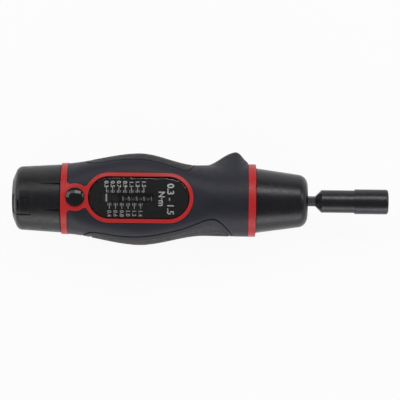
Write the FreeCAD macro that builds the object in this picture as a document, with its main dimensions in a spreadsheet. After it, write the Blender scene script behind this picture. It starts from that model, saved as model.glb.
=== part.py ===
"""Torque screwdriver with a window scale, a rear adjusting knob and a push-in nut setter.

Millimetres. The model's origin is the mouth of the nut socket, on the drive axis, with +X pointing
out of the tip and +Z out of the window. Most pieces are turned about the drive axis, so they are
drawn by their station, the distance behind the tip, and then faced towards -X. In that drawing
frame x is the station, y runs to the low side (-Y of the model) and z is up.
"""

import FreeCAD, Part
import math
import os
import re

import Sketcher
from FreeCAD import Placement, Rotation, Vector

# alias, millimetres (or degrees, or a count), what it is
SIZES = [
    # nut setter
    ("setter_front_radius", 5.64, "nut setter, front barrel radius"),
    ("setter_front_length", 15.2, "nut setter, front barrel length"),
    ("setter_rear_radius", 5.14, "nut setter, rear barrel radius"),
    ("setter_rear_length", 15.1, "nut setter, rear barrel length"),
    ("setter_cone_length", 2.8, "nut setter, cone between barrel and shank"),
    ("setter_edge_radius", 1.0, "nut setter, rounded front edge"),
    ("nut_flats", 7.1, "nut socket, across flats"),
    ("nut_depth", 9.0, "nut socket, depth to the magnet"),
    ("nut_lead", 0.8, "nut socket, lead-in cone"),
    ("setter_magnet_radius", 2.5, "magnet in the nut socket, radius"),
    ("setter_magnet_length", 3.8, "magnet in the nut socket, length"),
    ("shank_flats", 4.0, "drive shank, across flats"),
    ("shank_turn", 8.0, "drive shank, turn of its flats, degrees"),
    ("shank_grip", 24.7, "drive shank, length held in the spindle"),
    # nose
    ("neck_length", 3.8, "shank in sight between the nut setter and the spindle"),
    ("nose_face_back", 0.2, "nose face ahead of the spindle's front"),
    ("nose_length", 23.4, "nose cone, length"),
    ("nose_front_radius", 11.4, "nose cone, front radius"),
    ("nose_rear_radius", 14.7, "nose cone, rear radius"),
    ("nose_edge_radius", 4.7, "nose cone, rounded front edge"),
    ("nose_lip", 0.6, "nose cone, lip ahead of the seal"),
    ("seal_radius", 7.2, "shaft seal, outer radius"),
    ("seal_length", 1.1, "shaft seal, length"),
    ("bush_radius", 8.0, "front bush, outer radius"),
    ("bush_length", 19.5, "front bush, length"),
    ("spigot_radius", 13.0, "nose spigot screwed into the handle, radius"),
    ("spigot_length", 6.0, "nose spigot, length"),
    # spindle and thrust bearing
    ("spindle_radius", 6.0, "spindle journal radius"),
    ("spindle_magnet_radius", 1.9, "magnet behind the shank, radius"),
    ("spindle_magnet_length", 3.0, "magnet behind the shank, length"),
    ("bearing_radius", 11.0, "thrust bearing, outer radius"),
    ("bearing_ball_radius", 1.5, "thrust bearing, ball radius"),
    ("bearing_pitch_radius", 8.5, "thrust bearing, ball pitch radius"),
    ("bearing_ball_count", 10, "thrust bearing, number of balls"),
    ("race_length", 1.0, "thrust bearing, race thickness"),
    ("cage_length", 1.8, "thrust bearing, cage thickness"),
    ("stub_radius", 3.5, "spindle stub that carries the clutch plate"),
    ("stub_length", 14.5, "spindle stub, length"),
    # clutch
    ("cam_radius", 10.6, "spindle cam flange, radius"),
    ("cam_length", 4.5, "spindle cam flange, length"),
    ("clutch_ball_radius", 2.0, "clutch ball, radius"),
    ("clutch_ball_count", 6, "clutch balls in the plate"),
    ("dimple_count", 12, "dimples in the cam flange"),
    ("dimple_depth", 1.2, "clutch ball's depth in its dimple"),
    ("clutch_pitch_radius", 8.2, "clutch balls, pitch radius"),
    ("plate_gap", 0.5, "gap between cam flange and clutch plate"),
    ("plate_radius", 11.9, "clutch plate, radius"),
    ("plate_length", 5.5, "clutch plate, thickness"),
    ("plate_hub_radius", 6.2, "clutch plate, hub inside the spring"),
    ("plate_hub_length", 4.0, "clutch plate, length of the hub"),
    ("key_radius", 12.9, "clutch plate, radius over its keys"),
    ("key_width", 3.0, "clutch plate, width of a key"),
    ("key_count", 3, "clutch plate, number of keys"),
    ("seat_washer_radius", 10.5, "spring washer, outer radius"),
    ("seat_washer_length", 1.0, "spring washer, thickness"),
    # main spring and adjuster
    ("spring_radius", 7.5, "main spring, mean coil radius"),
    ("spring_wire_radius", 1.0, "main spring, wire radius"),
    ("spring_pitch", 3.34, "main spring at the lowest setting, coil pitch"),
    ("nut_length", 10.0, "adjuster nut, length"),
    ("nut_radius", 11.9, "adjuster nut, radius"),
    ("nut_hub_radius", 6.2, "adjuster nut, hub inside the spring"),
    ("nut_hub_length", 3.0, "adjuster nut, length of the hub"),
    ("nut_travel", 16.8, "adjuster nut, travel over the whole scale"),
    ("arm_length", 4.0, "indicator arm, length along the tool"),
    ("arm_drop", 0.4, "indicator arm, top below the face of the scale"),
    ("indicator_width", 0.62, "indicator line, width"),
    ("indicator_length", 3.4, "indicator line, length across the slot"),
    ("indicator_height", 0.15, "indicator line, height"),
    ("screw_radius", 4.0, "lead screw, thread radius"),
    ("screw_front", 28.5, "lead screw, front end ahead of its collar"),
    ("screw_collar_radius", 7.0, "lead screw, collar radius"),
    ("screw_collar_length", 2.3, "lead screw, collar length"),
    ("screw_collar_gap", 0.5, "gap between the adjuster nut and the lead screw's collar"),
    ("screw_journal_radius", 5.0, "lead screw, journal radius"),
    ("screw_washer_radius", 9.0, "lead screw washer, outer radius"),
    ("screw_washer_length", 1.2, "lead screw washer, thickness"),
    ("drive_flats", 6.6, "hexagon that drives the lead screw, across flats"),
    ("lock_ring_radius", 8.6, "lock ring, radius"),
    ("lock_ring_length", 3.2, "lock ring, thickness"),
    ("lock_notch_count", 12, "lock ring, number of notches"),
    ("lock_notch_width", 2.3, "lock ring, width of a notch"),
    ("lock_notch_play", 0.5, "lock ring, bottom of a notch below the pressed pin"),
    # handle
    ("ring_gap", 0.2, "gap between nose cone and front ring"),
    ("front_ring_length", 3.4, "front ring, length"),
    ("front_ring_radius", 16.5, "front ring, radius"),
    ("grip_length", 81.6, "rubber grip, length between the two rings"),
    ("rear_ring_length", 2.9, "rear ring, length"),
    ("ring_edge_radius", 0.4, "front ring, rounded front edge"),
    ("grip_thickness", 2.0, "rubber grip, thickness"),
    ("core_bore_radius", 12.2, "handle core, bore for clutch and spring"),
    ("web_length", 3.5, "handle core, web that carries the lead screw"),
    ("chamber_radius", 11.0, "handle core, bore behind the web"),
    ("chamber_depth", 8.15, "handle core, depth of the bore behind the web"),
    ("handle_top", 16.3, "handle, height of its top above the axis"),
    ("handle_back", 16.3, "handle, depth of its back at the ends"),
    ("handle_back_swell", 1.4, "handle, extra depth of the back at the bulge"),
    ("handle_squareness", 1.2, "handle, how far the upper half of its section departs from round"),
    ("back_squareness", 0.3, "handle, how far the lower half of its section departs from round"),
    ("square_start", 6.0, "handle, start of the squarer section ahead of the waist"),
    ("square_rise", 20.0, "handle, length over which its section gets squarer"),
    ("square_fall", 14.0, "handle, length over which its rear end gets round again"),
    ("rest_depth", 17.0, "flat on the handle's back, depth below the axis"),
    ("bulge_half_width", 20.7, "handle, half width at the bulge"),
    ("waist_low_half_width", 16.25, "handle, half width at the waist, low side"),
    ("waist_high_half_width", 15.7, "handle, half width at the waist, high side"),
    ("flare_half_width", 16.45, "handle, half width at the front"),
    ("flare_length", 8.0, "handle, length of the straight front end"),
    ("tail_half_width", 15.95, "handle, half width at the rear"),
    ("bulge_place", 35.4, "handle, bulge ahead of the rear ring's rear face"),
    ("waist_place", 64.7, "handle, waist of the low side ahead of the rear ring's rear face"),
    ("waist_high_place", 60.7, "handle, waist of the high side ahead of the rear ring's rear face"),
    ("lobe_height", 21.9, "anti-roll lobe, crest above the axis"),
    ("lobe_tip_radius", 3.6, "anti-roll lobe, radius of its crest"),
    ("lobe_rise_length", 13.6, "anti-roll lobe, length of its rising flank"),
    ("lobe_fall_length", 6.6, "anti-roll lobe, length of its front flank"),
    ("lobe_place", 8.9, "anti-roll lobe, crest behind the front ring's front face"),
    # grip pads
    ("pad_rear_end", 9.0, "side pads, rear tip ahead of the rear ring's rear face"),
    ("pad_front_end", 10.0, "low side pad, front tip behind the front ring's front face"),
    ("pad_short_end", 27.0, "high side pad, front tip behind the front ring's front face"),
    ("pad_rear_height", 11.9, "side pads, half height at the rear"),
    ("pad_front_height", 13.8, "side pads, half height at the front"),
    ("pad_rear_round", 6.0, "side pads, length of the rounded rear end"),
    ("pad_front_round", 10.0, "low side pad, length of the rounded front end"),
    ("pad_short_round", 4.5, "high side pad, length of the rounded front end"),
    ("pad_border", 2.2, "side pads, distance between the two border grooves"),
    ("groove_width", 0.5, "border grooves, width"),
    ("groove_depth", 0.6, "border grooves, depth"),
    ("field_depth", 0.45, "side pads, depth of the field that holds their texture"),
    ("badge_length", 7.3, "side badges, length"),
    ("badge_height", 5.0, "side badges, height"),
    ("badge_proud", 0.12, "side badges, height above the rubber"),
    ("badge_depth", 0.9, "side badges, depth in the rubber"),
    # window
    ("frame_rear", 10.7, "window frame, rear end ahead of the rear ring's rear face"),
    ("frame_length", 49.1, "window frame, length"),
    ("frame_half_width", 11.3, "window frame, half width and end radius"),
    ("frame_rim", 1.75, "window frame, width of its rim"),
    ("frame_proud", 0.2, "red parts, height above the rubber"),
    ("plate_base", 13.4, "scale plate, height of its underside"),
    ("plate_thickness", 0.8, "scale plate, thickness"),
    ("slot_width", 4.4, "scale slot, width"),
    ("core_slot_margin", 0.8, "slot in the core, wider than the scale slot on each side"),
    ("slot_margin", 2.8, "scale slot, length beyond the indicator's travel at the rear"),
    ("slot_front_margin", 4.8, "scale slot, length beyond the indicator's travel in front"),
    ("lens_base", 14.4, "window lens, height of its underside"),
    ("lens_recess", 0.3, "window lens, depth below the rubber's surface"),
    # lock button
    ("button_place", 6.6, "lock button ahead of the rear ring's rear face"),
    ("button_radius", 4.05, "lock button, radius"),
    ("button_side", 17.0, "lock button, height where the dome starts"),
    ("button_dome", 1.1, "lock button, height of the dome"),
    ("button_pocket_radius", 3.1, "lock button, radius of its spring pocket"),
    ("button_crown", 16.2, "lock button, height of the pocket's ceiling"),
    ("button_travel", 1.6, "lock button, travel"),
    ("collar_radius", 6.25, "collar around the lock button, radius"),
    ("collar_fillet", 1.5, "fillets between collar, frame and ring, radius"),
    ("button_floor", 12.2, "bottom of the lock button's bore, height"),
    ("pin_radius", 1.0, "lock pin, radius"),
    ("pin_gap", 0.3, "lock pin, gap to the lock ring at rest"),
    ("pin_inset", 0.3, "lock pin, top below the start of the button's dome"),
    ("clip_radius", 1.4, "lock pin clip, radius"),
    ("clip_bore_radius", 0.7, "lock pin clip, inner radius"),
    ("clip_thickness", 0.4, "lock pin clip, thickness"),
    ("button_spring_radius", 2.2, "button spring, mean coil radius"),
    ("button_spring_wire", 0.2, "button spring, wire radius"),
    ("button_spring_turns", 4, "button spring, turns"),
    # knob
    ("knob_length", 21.9, "knob, length in sight"),
    ("knob_gap", 0.3, "gap between rear ring and knob"),
    ("knob_front_radius", 15.5, "knob, front radius"),
    ("knob_rear_radius", 14.3, "knob, rear radius"),
    ("knob_edge", 2.4, "knob, length of the slope at its rear edge"),
    ("knob_edge_fall", 5.6, "knob, fall of the slope at its rear edge"),
    ("knob_edge_round", 3.0, "knob, radius where the slope starts"),
    ("knob_face_round", 2.0, "knob, radius where the slope meets the rear face"),
    ("knob_spigot_radius", 10.8, "knob, radius of the spigot inside the core"),
    ("knob_spigot_length", 4.3, "knob, length of the spigot"),
    ("knob_hub_radius", 6.5, "knob, radius of the hub behind the lock ring"),
    ("knob_drive_length", 14.6, "knob, length of its hexagon bore"),
    ("knob_web_length", 1.3, "knob, web under the screw head"),
    ("land_length", 10.0, "knob lands, length"),
    ("land_height", 0.45, "knob lands, height at the front"),
    ("land_angle", 43.0, "knob lands, width, degrees"),
    ("trench_angle", 2.2, "trenches beside the knob lands, width, degrees"),
    ("trench_depth", 0.5, "trenches beside the knob lands, depth at the front"),
    ("land_count", 4, "knob lands, number"),
    ("panel_length", 8.7, "knob panel, length"),
    ("panel_width", 8.8, "knob panel, width"),
    ("panel_depth", 0.45, "knob panel, depth"),
    ("panel_turn", 17.0, "knob panel, angle from the top, degrees"),
    ("panel_bar_width", 0.9, "bars in the knob panel, width"),
    ("panel_bar_length", 5.2, "bars in the knob panel, length"),
    ("panel_bar_count", 3, "bars in the knob panel, number"),
    ("screw_head_radius", 3.5, "knob screw, head radius"),
    ("screw_head_length", 2.4, "knob screw, head length"),
    ("screw_key_flats", 2.5, "knob screw, key socket across flats"),
    ("screw_key_depth", 1.5, "knob screw, key socket depth"),
    ("screw_hole_depth", 9.5, "tapped hole in the lead screw, from the knob screw's head"),
    ("screw_shank_radius", 1.95, "knob screw, shank radius"),
    ("screw_shank_length", 9.0, "knob screw, shank length"),
    ("cap_radius", 8.0, "knob cap, radius"),
    ("cap_length", 1.6, "knob cap, thickness"),
    ("cap_bore_radius", 6.0, "knob, bore under the cap"),
    # clearances
    ("fit", 0.02, "clearance of a seat that doesn't turn"),
    ("running_fit", 0.05, "clearance of a seat that turns or slides"),
    ("bond", 0.05, "line between rubber and core"),
    ("free_gap", 0.15, "clearance of a loose sliding key or button"),
    ("seat_play", 0.1, "play behind a seated ring"),
    ("play", 0.2, "play between parts that move past each other"),
]

# alias, formula of the sizes above and the places before it, what it is
PLACES = [
    ("setter_step", "setter_front_length", "nut setter, step between the barrels"),
    ("cone_start", "setter_step + setter_rear_length", "nut setter, start of the cone"),
    ("shank_start", "cone_start + setter_cone_length", "nut setter, start of the shank"),
    ("nut_socket_end", "nut_depth + setter_magnet_length", "nut socket, bottom of the magnet's seat"),
    ("spindle_front", "shank_start + neck_length", "front of the spindle"),
    ("nose_face", "spindle_front - nose_face_back", "front of the nose cone"),
    ("nose_rear", "nose_face + nose_length", "shoulder of the nose cone"),
    ("spigot_end", "nose_rear + spigot_length", "rear end of the nose spigot"),
    ("seal_start", "nose_face + nose_lip", "front of the seal"),
    ("seal_end", "seal_start + seal_length + fit", "rear of the seal's seat"),
    ("bush_end", "seal_end + bush_length", "rear of the front bush"),
    ("race_front", "nose_rear - seat_play", "seat of the front race"),
    ("balls_start", "race_front + race_length", "front of the bearing balls"),
    ("race_rear", "balls_start + 2 * bearing_ball_radius", "front of the rear race"),
    ("cam_front", "race_rear + race_length + running_fit", "front of the cam flange"),
    ("cam_face", "cam_front + cam_length", "dimpled face of the cam flange"),
    ("shank_end", "spindle_front + shank_grip", "rear end of the drive shank"),
    ("clutch_centre", "cam_face + clutch_ball_radius - dimple_depth", "centres of the clutch balls"),
    ("plate_front", "cam_face + plate_gap", "front of the clutch plate"),
    ("plate_rear", "plate_front + plate_length", "rear of the clutch plate"),
    ("spring_start", "plate_rear + seat_washer_length", "front end of the main spring"),
    ("ring_front", "nose_rear + ring_gap", "front face of the front ring"),
    ("grip_front", "ring_front + front_ring_length", "front edge of the rubber"),
    ("grip_rear", "grip_front + grip_length", "rear edge of the rubber"),
    ("ring_rear", "grip_rear + rear_ring_length", "rear face of the rear ring"),
    ("web_rear", "ring_rear - chamber_depth", "rear of the core's web"),
    ("web_front", "web_rear - web_length", "front of the core's web"),
    ("collar_rear", "web_front - screw_washer_length", "rear of the lead screw's collar"),
    ("collar_front", "collar_rear - screw_collar_length", "front of the lead screw's collar"),
    ("screw_tip", "collar_front - screw_front", "front end of the lead screw"),
    ("nut_end", "collar_front - screw_collar_gap", "rear end of the adjuster nut"),
    ("spring_end", "nut_end - nut_length", "rear end of the main spring"),
    ("spring_length", "spring_end - spring_start", "main spring at the lowest setting, length"),
    ("indicator_place", "spring_end + nut_length / 2", "indicator line at the lowest setting"),
    ("lock_ring_front", "web_rear + play", "front of the lock ring"),
    ("lock_ring_rear", "lock_ring_front + lock_ring_length", "rear of the lock ring"),
    ("knob_front", "ring_rear + knob_gap", "front face of the knob"),
    ("tool_length", "knob_front + knob_length", "rear end of the knob"),
    ("knob_web_front", "lock_ring_rear + seat_play + knob_drive_length", "front of the knob's web"),
    ("knob_web_rear", "knob_web_front + knob_web_length", "seat of the knob screw's head"),
    ("cap_front", "tool_length - cap_length", "front of the knob cap"),
    ("button_station", "ring_rear - button_place", "axis of the lock button"),
    ("window_rear", "ring_rear - frame_rear", "rear end of the window frame"),
    ("window_front", "window_rear - frame_length", "front end of the window frame"),
    ("bulge_station", "ring_rear - bulge_place", "widest place of the handle"),
    ("waist_station", "ring_rear - waist_place", "narrowest place of the handle's low side"),
    ("waist_high_station", "ring_rear - waist_high_place", "narrowest place of its high side"),
    ("slot_rear", "indicator_place + slot_margin", "rear end of the scale slot"),
    ("slot_front", "indicator_place - nut_travel - slot_front_margin", "front end of the scale slot"),
    ("plate_top", "plate_base + plate_thickness", "face of the scale plate"),
    ("arm_top", "plate_top - arm_drop", "top of the indicator arm"),
    ("button_skirt", "button_floor + button_travel + play", "height of the lock button's lower edge"),
    ("pin_bottom", "lock_ring_radius + pin_gap", "lower end of the lock pin"),
    ("pin_top", "button_side - pin_inset", "upper end of the lock pin"),
    ("lock_notch_depth", "button_travel - pin_gap + lock_notch_play", "depth of a lock ring notch"),
    ("chamber_top", "sqrt(chamber_radius ^ 2 - clip_radius ^ 2)", "roof of the rear chamber over the clip"),
]

# how far a cutting shape runs past what it cuts, or a boss into what carries it
OVERRUN = 1.0
# a distance that reaches past the whole tool, across it
FAR = 40.0
# how far the shapes that cut the window side reach above the handle
TRIM_REACH = 8.0
# steps between the sections of the handle's surface, around the lobe and elsewhere
LOBE_STEP = 1.8
PLAIN_STEP = 4.0
# distance between the pads' two borders at their tips, as shares of the distance along their sides
PAD_REAR_SHARE = 1.5
PAD_FRONT_SHARE = 0.6

doc = FreeCAD.newDocument("torque_screwdriver")

# turns the drawing frame, whose x is the station, to face the tool's tip towards +X
FACING = Placement(Vector(0, 0, 0), Rotation(Vector(0, 0, 1), 180))


def make_sheet(name):
    return doc.addObject("Spreadsheet::Sheet", name)


dims = make_sheet("Dims")
places = make_sheet("Places")
DIM_NAMES = {alias for alias, number, note in SIZES}
PLACE_NAMES = {alias for alias, formula, note in PLACES}


def linked(formula):
    """The formula with each alias written as a reference to its sheet."""

    def reference(match):
        word = match.group(0)
        if word in DIM_NAMES:
            return "Dims." + word
        if word in PLACE_NAMES:
            return "Places." + word
        return word

    return re.sub(r"[A-Za-z_]\w*", reference, formula)


def fill_sheets():
    for row, (alias, number, note) in enumerate(SIZES, 1):
        dims.set(f"A{row}", note)
        dims.set(f"B{row}", str(number))
        dims.setAlias(f"B{row}", alias)
    doc.recompute()
    for row, (alias, formula, note) in enumerate(PLACES, 1):
        places.set(f"A{row}", note)
        places.set(f"B{row}", "=" + linked(formula))
        places.setAlias(f"B{row}", alias)
    doc.recompute()


def size(alias):
    """The number that a sheet holds under this alias."""
    sheet = dims if alias in DIM_NAMES else places
    return float(getattr(sheet, alias))


def bind(thing, **formulas):
    """Bind properties to formulas, with a double underscore for each dot of the property's path."""
    for path, formula in formulas.items():
        thing.setExpression(path.replace("__", "."), linked(formula))
    return thing


# ---------------------------------------------------------------- sketched pieces


def new_body(label):
    body = doc.addObject("PartDesign::Body", label)
    body.Label = label
    body.Placement = FACING
    return body


def origin_plane(body, role):
    return next(item for item in body.Origin.OriginFeatures if item.Role == role)


def new_sketch(body, name, plane, offset=None, turn=None):
    """A sketch on one of the body's planes, moved along its normal and turned about the tool axis."""
    sketch = body.newObject("Sketcher::SketchObject", name)
    sketch.AttachmentSupport = [(origin_plane(body, plane), "")]
    sketch.MapMode = "FlatFace"
    if offset:
        bind(sketch, AttachmentOffset__Base__z=offset)
    if turn is not None:
        sketch.AttachmentOffset = Placement(Vector(0, 0, 0), Rotation(Vector(1, 0, 0), turn))
    return sketch


def place_point(sketch, edge, corner):
    """Fix the start of an edge at its two formulas."""
    for kind, axis, formula in (("DistanceX", -2, corner[0]), ("DistanceY", -1, corner[1])):
        if formula == "0":
            sketch.addConstraint(Sketcher.Constraint("PointOnObject", edge, 1, axis))
            continue
        index = sketch.addConstraint(Sketcher.Constraint(kind, -1, 1, edge, 1, 1.0))
        sketch.setExpression(f"Constraints[{index}]", linked(formula))


def polygon(sketch, corners):
    """A closed outline whose corners are pairs of formulas."""
    count = len(corners)
    for k in range(count):
        # a rough start that the constraints then move
        angle = 2 * math.pi * k / count
        following = 2 * math.pi * (k + 1) / count
        start = Vector(60 + 9 * math.cos(angle), 9 + 9 * math.sin(angle), 0)
        end = Vector(60 + 9 * math.cos(following), 9 + 9 * math.sin(following), 0)
        sketch.addGeometry(Part.LineSegment(start, end))
    for k in range(count):
        sketch.addConstraint(Sketcher.Constraint("Coincident", k, 2, (k + 1) % count, 1))
    for k, corner in enumerate(corners):
        place_point(sketch, k, corner)
    return sketch


def revolve(body, name, corners, kind="Revolution", plane="XY_Plane", axis="H_Axis"):
    """Turn an outline about the tool axis (or about the sketch's vertical axis)."""
    sketch = polygon(new_sketch(body, name + "_outline", plane), corners)
    turning = body.newObject("PartDesign::" + kind, name)
    turning.Profile = sketch
    turning.ReferenceAxis = (sketch, [axis])
    turning.Angle = 360
    return turning


def hexagon_corners(flats, turn):
    """Corner formulas of a hexagon about the tool axis, from formulas of its flats and its turn."""
    return [
        (f"({flats}) / sqrt(3) * cos({60 * k} + {turn})",
         f"({flats}) / sqrt(3) * sin({60 * k} + {turn})")
        for k in range(6)
    ]


def extrude(body, name, kind, corners, start, length):
    """Pad an outline towards the rear, or pocket it, from a station on."""
    sketch = polygon(new_sketch(body, name + "_outline", "YZ_Plane", start), corners)
    feature = body.newObject("PartDesign::" + kind, name)
    feature.Profile = sketch
    feature.Reversed = kind == "Pocket"
    bind(feature, Length=length)
    return feature


def repeat(body, feature, axis_sketch, axis, count):
    """Repeat a feature around an axis of a sketch."""
    pattern = body.newObject("PartDesign::PolarPattern", feature.Name + "_pattern")
    pattern.Originals = [feature]
    pattern.Axis = (axis_sketch, [axis])
    pattern.Angle = 360
    bind(pattern, Occurrences=count)
    body.Tip = pattern
    return pattern


def ring_edges(feature, spots):
    """The names of the round edges at (station, radius) spots, both given as aliases or formulas."""
    names = []
    for number, edge in enumerate(feature.Shape.Edges, 1):
        if not isinstance(edge.Curve, Part.Circle):
            continue
        for station, radius in spots:
            at_station = abs(edge.Curve.Center.x - station) < 1e-6
            if at_station and abs(edge.Curve.Radius - radius) < 1e-6:
                names.append(f"Edge{number}")
    return names


def blend(body, feature, name, kind, spots, amount):
    """Round or chamfer round edges of a turned feature."""
    doc.recompute()
    names = ring_edges(feature, spots)
    if len(names) != len(spots):
        raise RuntimeError(f"{name}: found {len(names)} of {len(spots)} edges")
    feature_blend = body.newObject("PartDesign::" + kind, name)
    feature_blend.Base = (feature, names)
    path = "Radius" if kind == "Fillet" else "Size"
    bind(feature_blend, **{path: amount})
    return feature_blend


def turned_piece(label, corners):
    body = new_body(label)
    revolve(body, label + "_turning", corners)
    return body


def tube_corners(start, end, inner, outer):
    return [(start, inner), (start, outer), (end, outer), (end, inner)]


# ---------------------------------------------------------------- primitives and booleans


def cylinder(name, start, length, radius):
    """A cylinder along the tool axis, from a station to the rear."""
    thing = doc.addObject("Part::Cylinder", name)
    thing.Placement = Placement(Vector(0, 0, 0), Rotation(Vector(0, 1, 0), -90))
    bind(thing, Radius=radius, Height=length, Placement__Base__x=f"-({start})")
    return thing


def sphere(name, radius, station, pitch_radius, angle):
    """A ball at a station, at a radius and an angle from the window side."""
    thing = doc.addObject("Part::Sphere", name)
    thing.Placement = Placement(Vector(0, 0, 0), Rotation(Vector(0, 1, 0), 90))
    bind(
        thing,
        Radius=radius,
        Placement__Base__x=f"-({station})",
        Placement__Base__y=f"{pitch_radius} * sin({angle})",
        Placement__Base__z=f"{pitch_radius} * cos({angle})",
    )
    return thing


def box(name, front, rear, width, bottom, top, turn="0"):
    """A box between two stations, centred across, turned about the tool axis by an angle."""
    thing = doc.addObject("Part::Box", name)
    bind(
        thing,
        Length=f"({rear}) - ({front})",
        Width=width,
        Height=f"({top}) - ({bottom})",
        Placement__Base__x=f"-({rear})",
        Placement__Base__y=f"-({width}) / 2 * cos({turn}) - ({bottom}) * sin({turn})",
        Placement__Base__z=f"-({width}) / 2 * sin({turn}) + ({bottom}) * cos({turn})",
    )
    if turn != "0":
        thing.Placement.Rotation = Rotation(Vector(1, 0, 0), size(turn))
        bind(thing, Placement__Rotation__Angle=turn)
    return thing


def join(name, things):
    thing = doc.addObject("Part::MultiFuse", name)
    thing.Shapes = things
    thing.Refine = True
    return thing


def cut(name, base, tool):
    thing = doc.addObject("Part::Cut", name)
    thing.Base = base
    thing.Tool = tool
    return thing


def group(name, things):
    thing = doc.addObject("Part::Compound", name)
    thing.Links = things
    return thing


# ---------------------------------------------------------------- drive: nut setter and spindle


def nut_setter():
    body = new_body("nut_setter")
    barrel = revolve(body, "setter_turning", [
        ("0", "0"),
        ("0", "setter_front_radius"),
        ("setter_step", "setter_front_radius"),
        ("setter_step", "setter_rear_radius"),
        ("cone_start", "setter_rear_radius"),
        ("shank_start", "shank_flats / sqrt(3)"),
        ("shank_start", "0"),
    ])
    doc.recompute()
    blend(body, barrel, "setter_front_edge", "Fillet",
          [(0, size("setter_front_radius"))], "setter_edge_radius")
    extrude(body, "setter_shank", "Pad", hexagon_corners("shank_flats", "shank_turn"),
            "shank_start", "shank_end - shank_start")
    extrude(body, "nut_socket", "Pocket", hexagon_corners("nut_flats", "shank_turn"),
            "0", "nut_depth")
    revolve(body, "socket_lead_in", [
        ("0", "0"),
        ("0", "nut_flats / 2 + nut_lead * 3 / 4"),
        ("nut_lead", "nut_flats / 2 - nut_lead / 4"),
        ("nut_lead", "0"),
    ], kind="Groove")
    revolve(body, "magnet_seat", [
        ("nut_depth - seat_play", "0"),
        ("nut_depth - seat_play", "setter_magnet_radius + fit"),
        ("nut_socket_end", "setter_magnet_radius + fit"),
        ("nut_socket_end", "0"),
    ], kind="Groove")
    return body


def spindle():
    body = new_body("spindle_body")
    revolve(body, "spindle_turning", [
        ("spindle_front", "0"),
        ("spindle_front", "spindle_radius"),
        ("cam_front", "spindle_radius"),
        ("cam_front", "cam_radius"),
        ("cam_face", "cam_radius"),
        ("cam_face", "stub_radius"),
        ("cam_face + stub_length", "stub_radius"),
        ("cam_face + stub_length", "0"),
    ])
    extrude(body, "shank_bore", "Pocket", hexagon_corners("shank_flats + 2 * fit", "shank_turn"),
            "spindle_front", "shank_end - spindle_front + seat_play")
    revolve(body, "spindle_magnet_seat", [
        ("shank_end", "0"),
        ("shank_end", "spindle_magnet_radius + fit"),
        ("shank_end + spindle_magnet_length + free_gap", "spindle_magnet_radius + fit"),
        ("shank_end + spindle_magnet_length + free_gap", "0"),
    ], kind="Groove")
    dimples = [
        sphere(f"dimple_{k}", "clutch_ball_radius + running_fit", "clutch_centre",
               "clutch_pitch_radius", f"360 / dimple_count * {k}")
        for k in range(int(size("dimple_count")))
    ]
    return cut("spindle", body, group("dimples", dimples))


def clutch_balls():
    balls = [
        sphere(f"clutch_ball_{k}", "clutch_ball_radius", "clutch_centre",
               "clutch_pitch_radius", f"360 / clutch_ball_count * {k}")
        for k in range(int(size("clutch_ball_count")))
    ]
    return group("clutch_balls", balls)


def clutch_plate():
    body = new_body("clutch_plate_body")
    revolve(body, "plate_turning", [
        ("plate_front", "stub_radius + running_fit"),
        ("plate_front", "plate_radius"),
        ("plate_rear", "plate_radius"),
        ("plate_rear", "plate_hub_radius"),
        ("plate_rear + plate_hub_length", "plate_hub_radius"),
        ("plate_rear + plate_hub_length", "stub_radius + running_fit"),
    ])
    key = extrude(body, "plate_key", "Pad", [
        ("-key_width / 2", f"plate_radius - {OVERRUN}"),
        ("key_width / 2", f"plate_radius - {OVERRUN}"),
        ("key_width / 2", "key_radius"),
        ("-key_width / 2", "key_radius"),
    ], "plate_front", "plate_length")
    repeat(body, key, key.Profile[0], "N_Axis", "key_count")
    pockets = [
        sphere(f"ball_pocket_{k}", "clutch_ball_radius + fit", "clutch_centre",
               "clutch_pitch_radius", f"360 / clutch_ball_count * {k}")
        for k in range(int(size("clutch_ball_count")))
    ]
    return cut("clutch_plate", body, group("ball_pockets", pockets))


# ---------------------------------------------------------------- nose and thrust bearing


def nose_cap():
    body = new_body("nose_cap")
    cone = revolve(body, "nose_turning", [
        ("nose_face", "spindle_radius + free_gap"),
        ("nose_face", "nose_front_radius"),
        ("nose_rear", "nose_rear_radius"),
        ("nose_rear", "spigot_radius"),
        ("spigot_end", "spigot_radius"),
        ("spigot_end", "bearing_radius + free_gap"),
        ("race_front", "bearing_radius + free_gap"),
        ("race_front", "bush_radius + fit"),
        ("seal_end", "bush_radius + fit"),
        ("seal_end", "seal_radius + fit"),
        ("seal_start", "seal_radius + fit"),
        ("seal_start", "spindle_radius + free_gap"),
    ])
    doc.recompute()
    blend(body, cone, "nose_front_edge", "Fillet",
          [(size("nose_face"), size("nose_front_radius"))], "nose_edge_radius")
    return body


def thrust_bearing():
    front = turned_piece("thrust_race_front", tube_corners(
        "race_front", "balls_start", "spindle_radius + running_fit", "bearing_radius"))
    rear = turned_piece("thrust_race_rear", tube_corners(
        "race_rear", "race_rear + race_length", "spindle_radius + running_fit", "bearing_radius"))
    cage_ring = turned_piece("thrust_cage_ring", tube_corners(
        "balls_start + bearing_ball_radius - cage_length / 2",
        "balls_start + bearing_ball_radius + cage_length / 2",
        "spindle_radius + free_gap", "bearing_radius - free_gap"))
    balls = []
    holes = []
    for k in range(int(size("bearing_ball_count"))):
        spot = ("balls_start + bearing_ball_radius", "bearing_pitch_radius",
                f"360 / bearing_ball_count * {k}")
        balls.append(sphere(f"bearing_ball_{k}", "bearing_ball_radius", *spot))
        holes.append(sphere(f"cage_hole_{k}", "bearing_ball_radius + running_fit", *spot))
    cage = cut("thrust_cage", cage_ring, group("cage_holes", holes))
    return [front, rear, cage, group("thrust_balls", balls)]


# ---------------------------------------------------------------- spring, nut and lead screw


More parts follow.
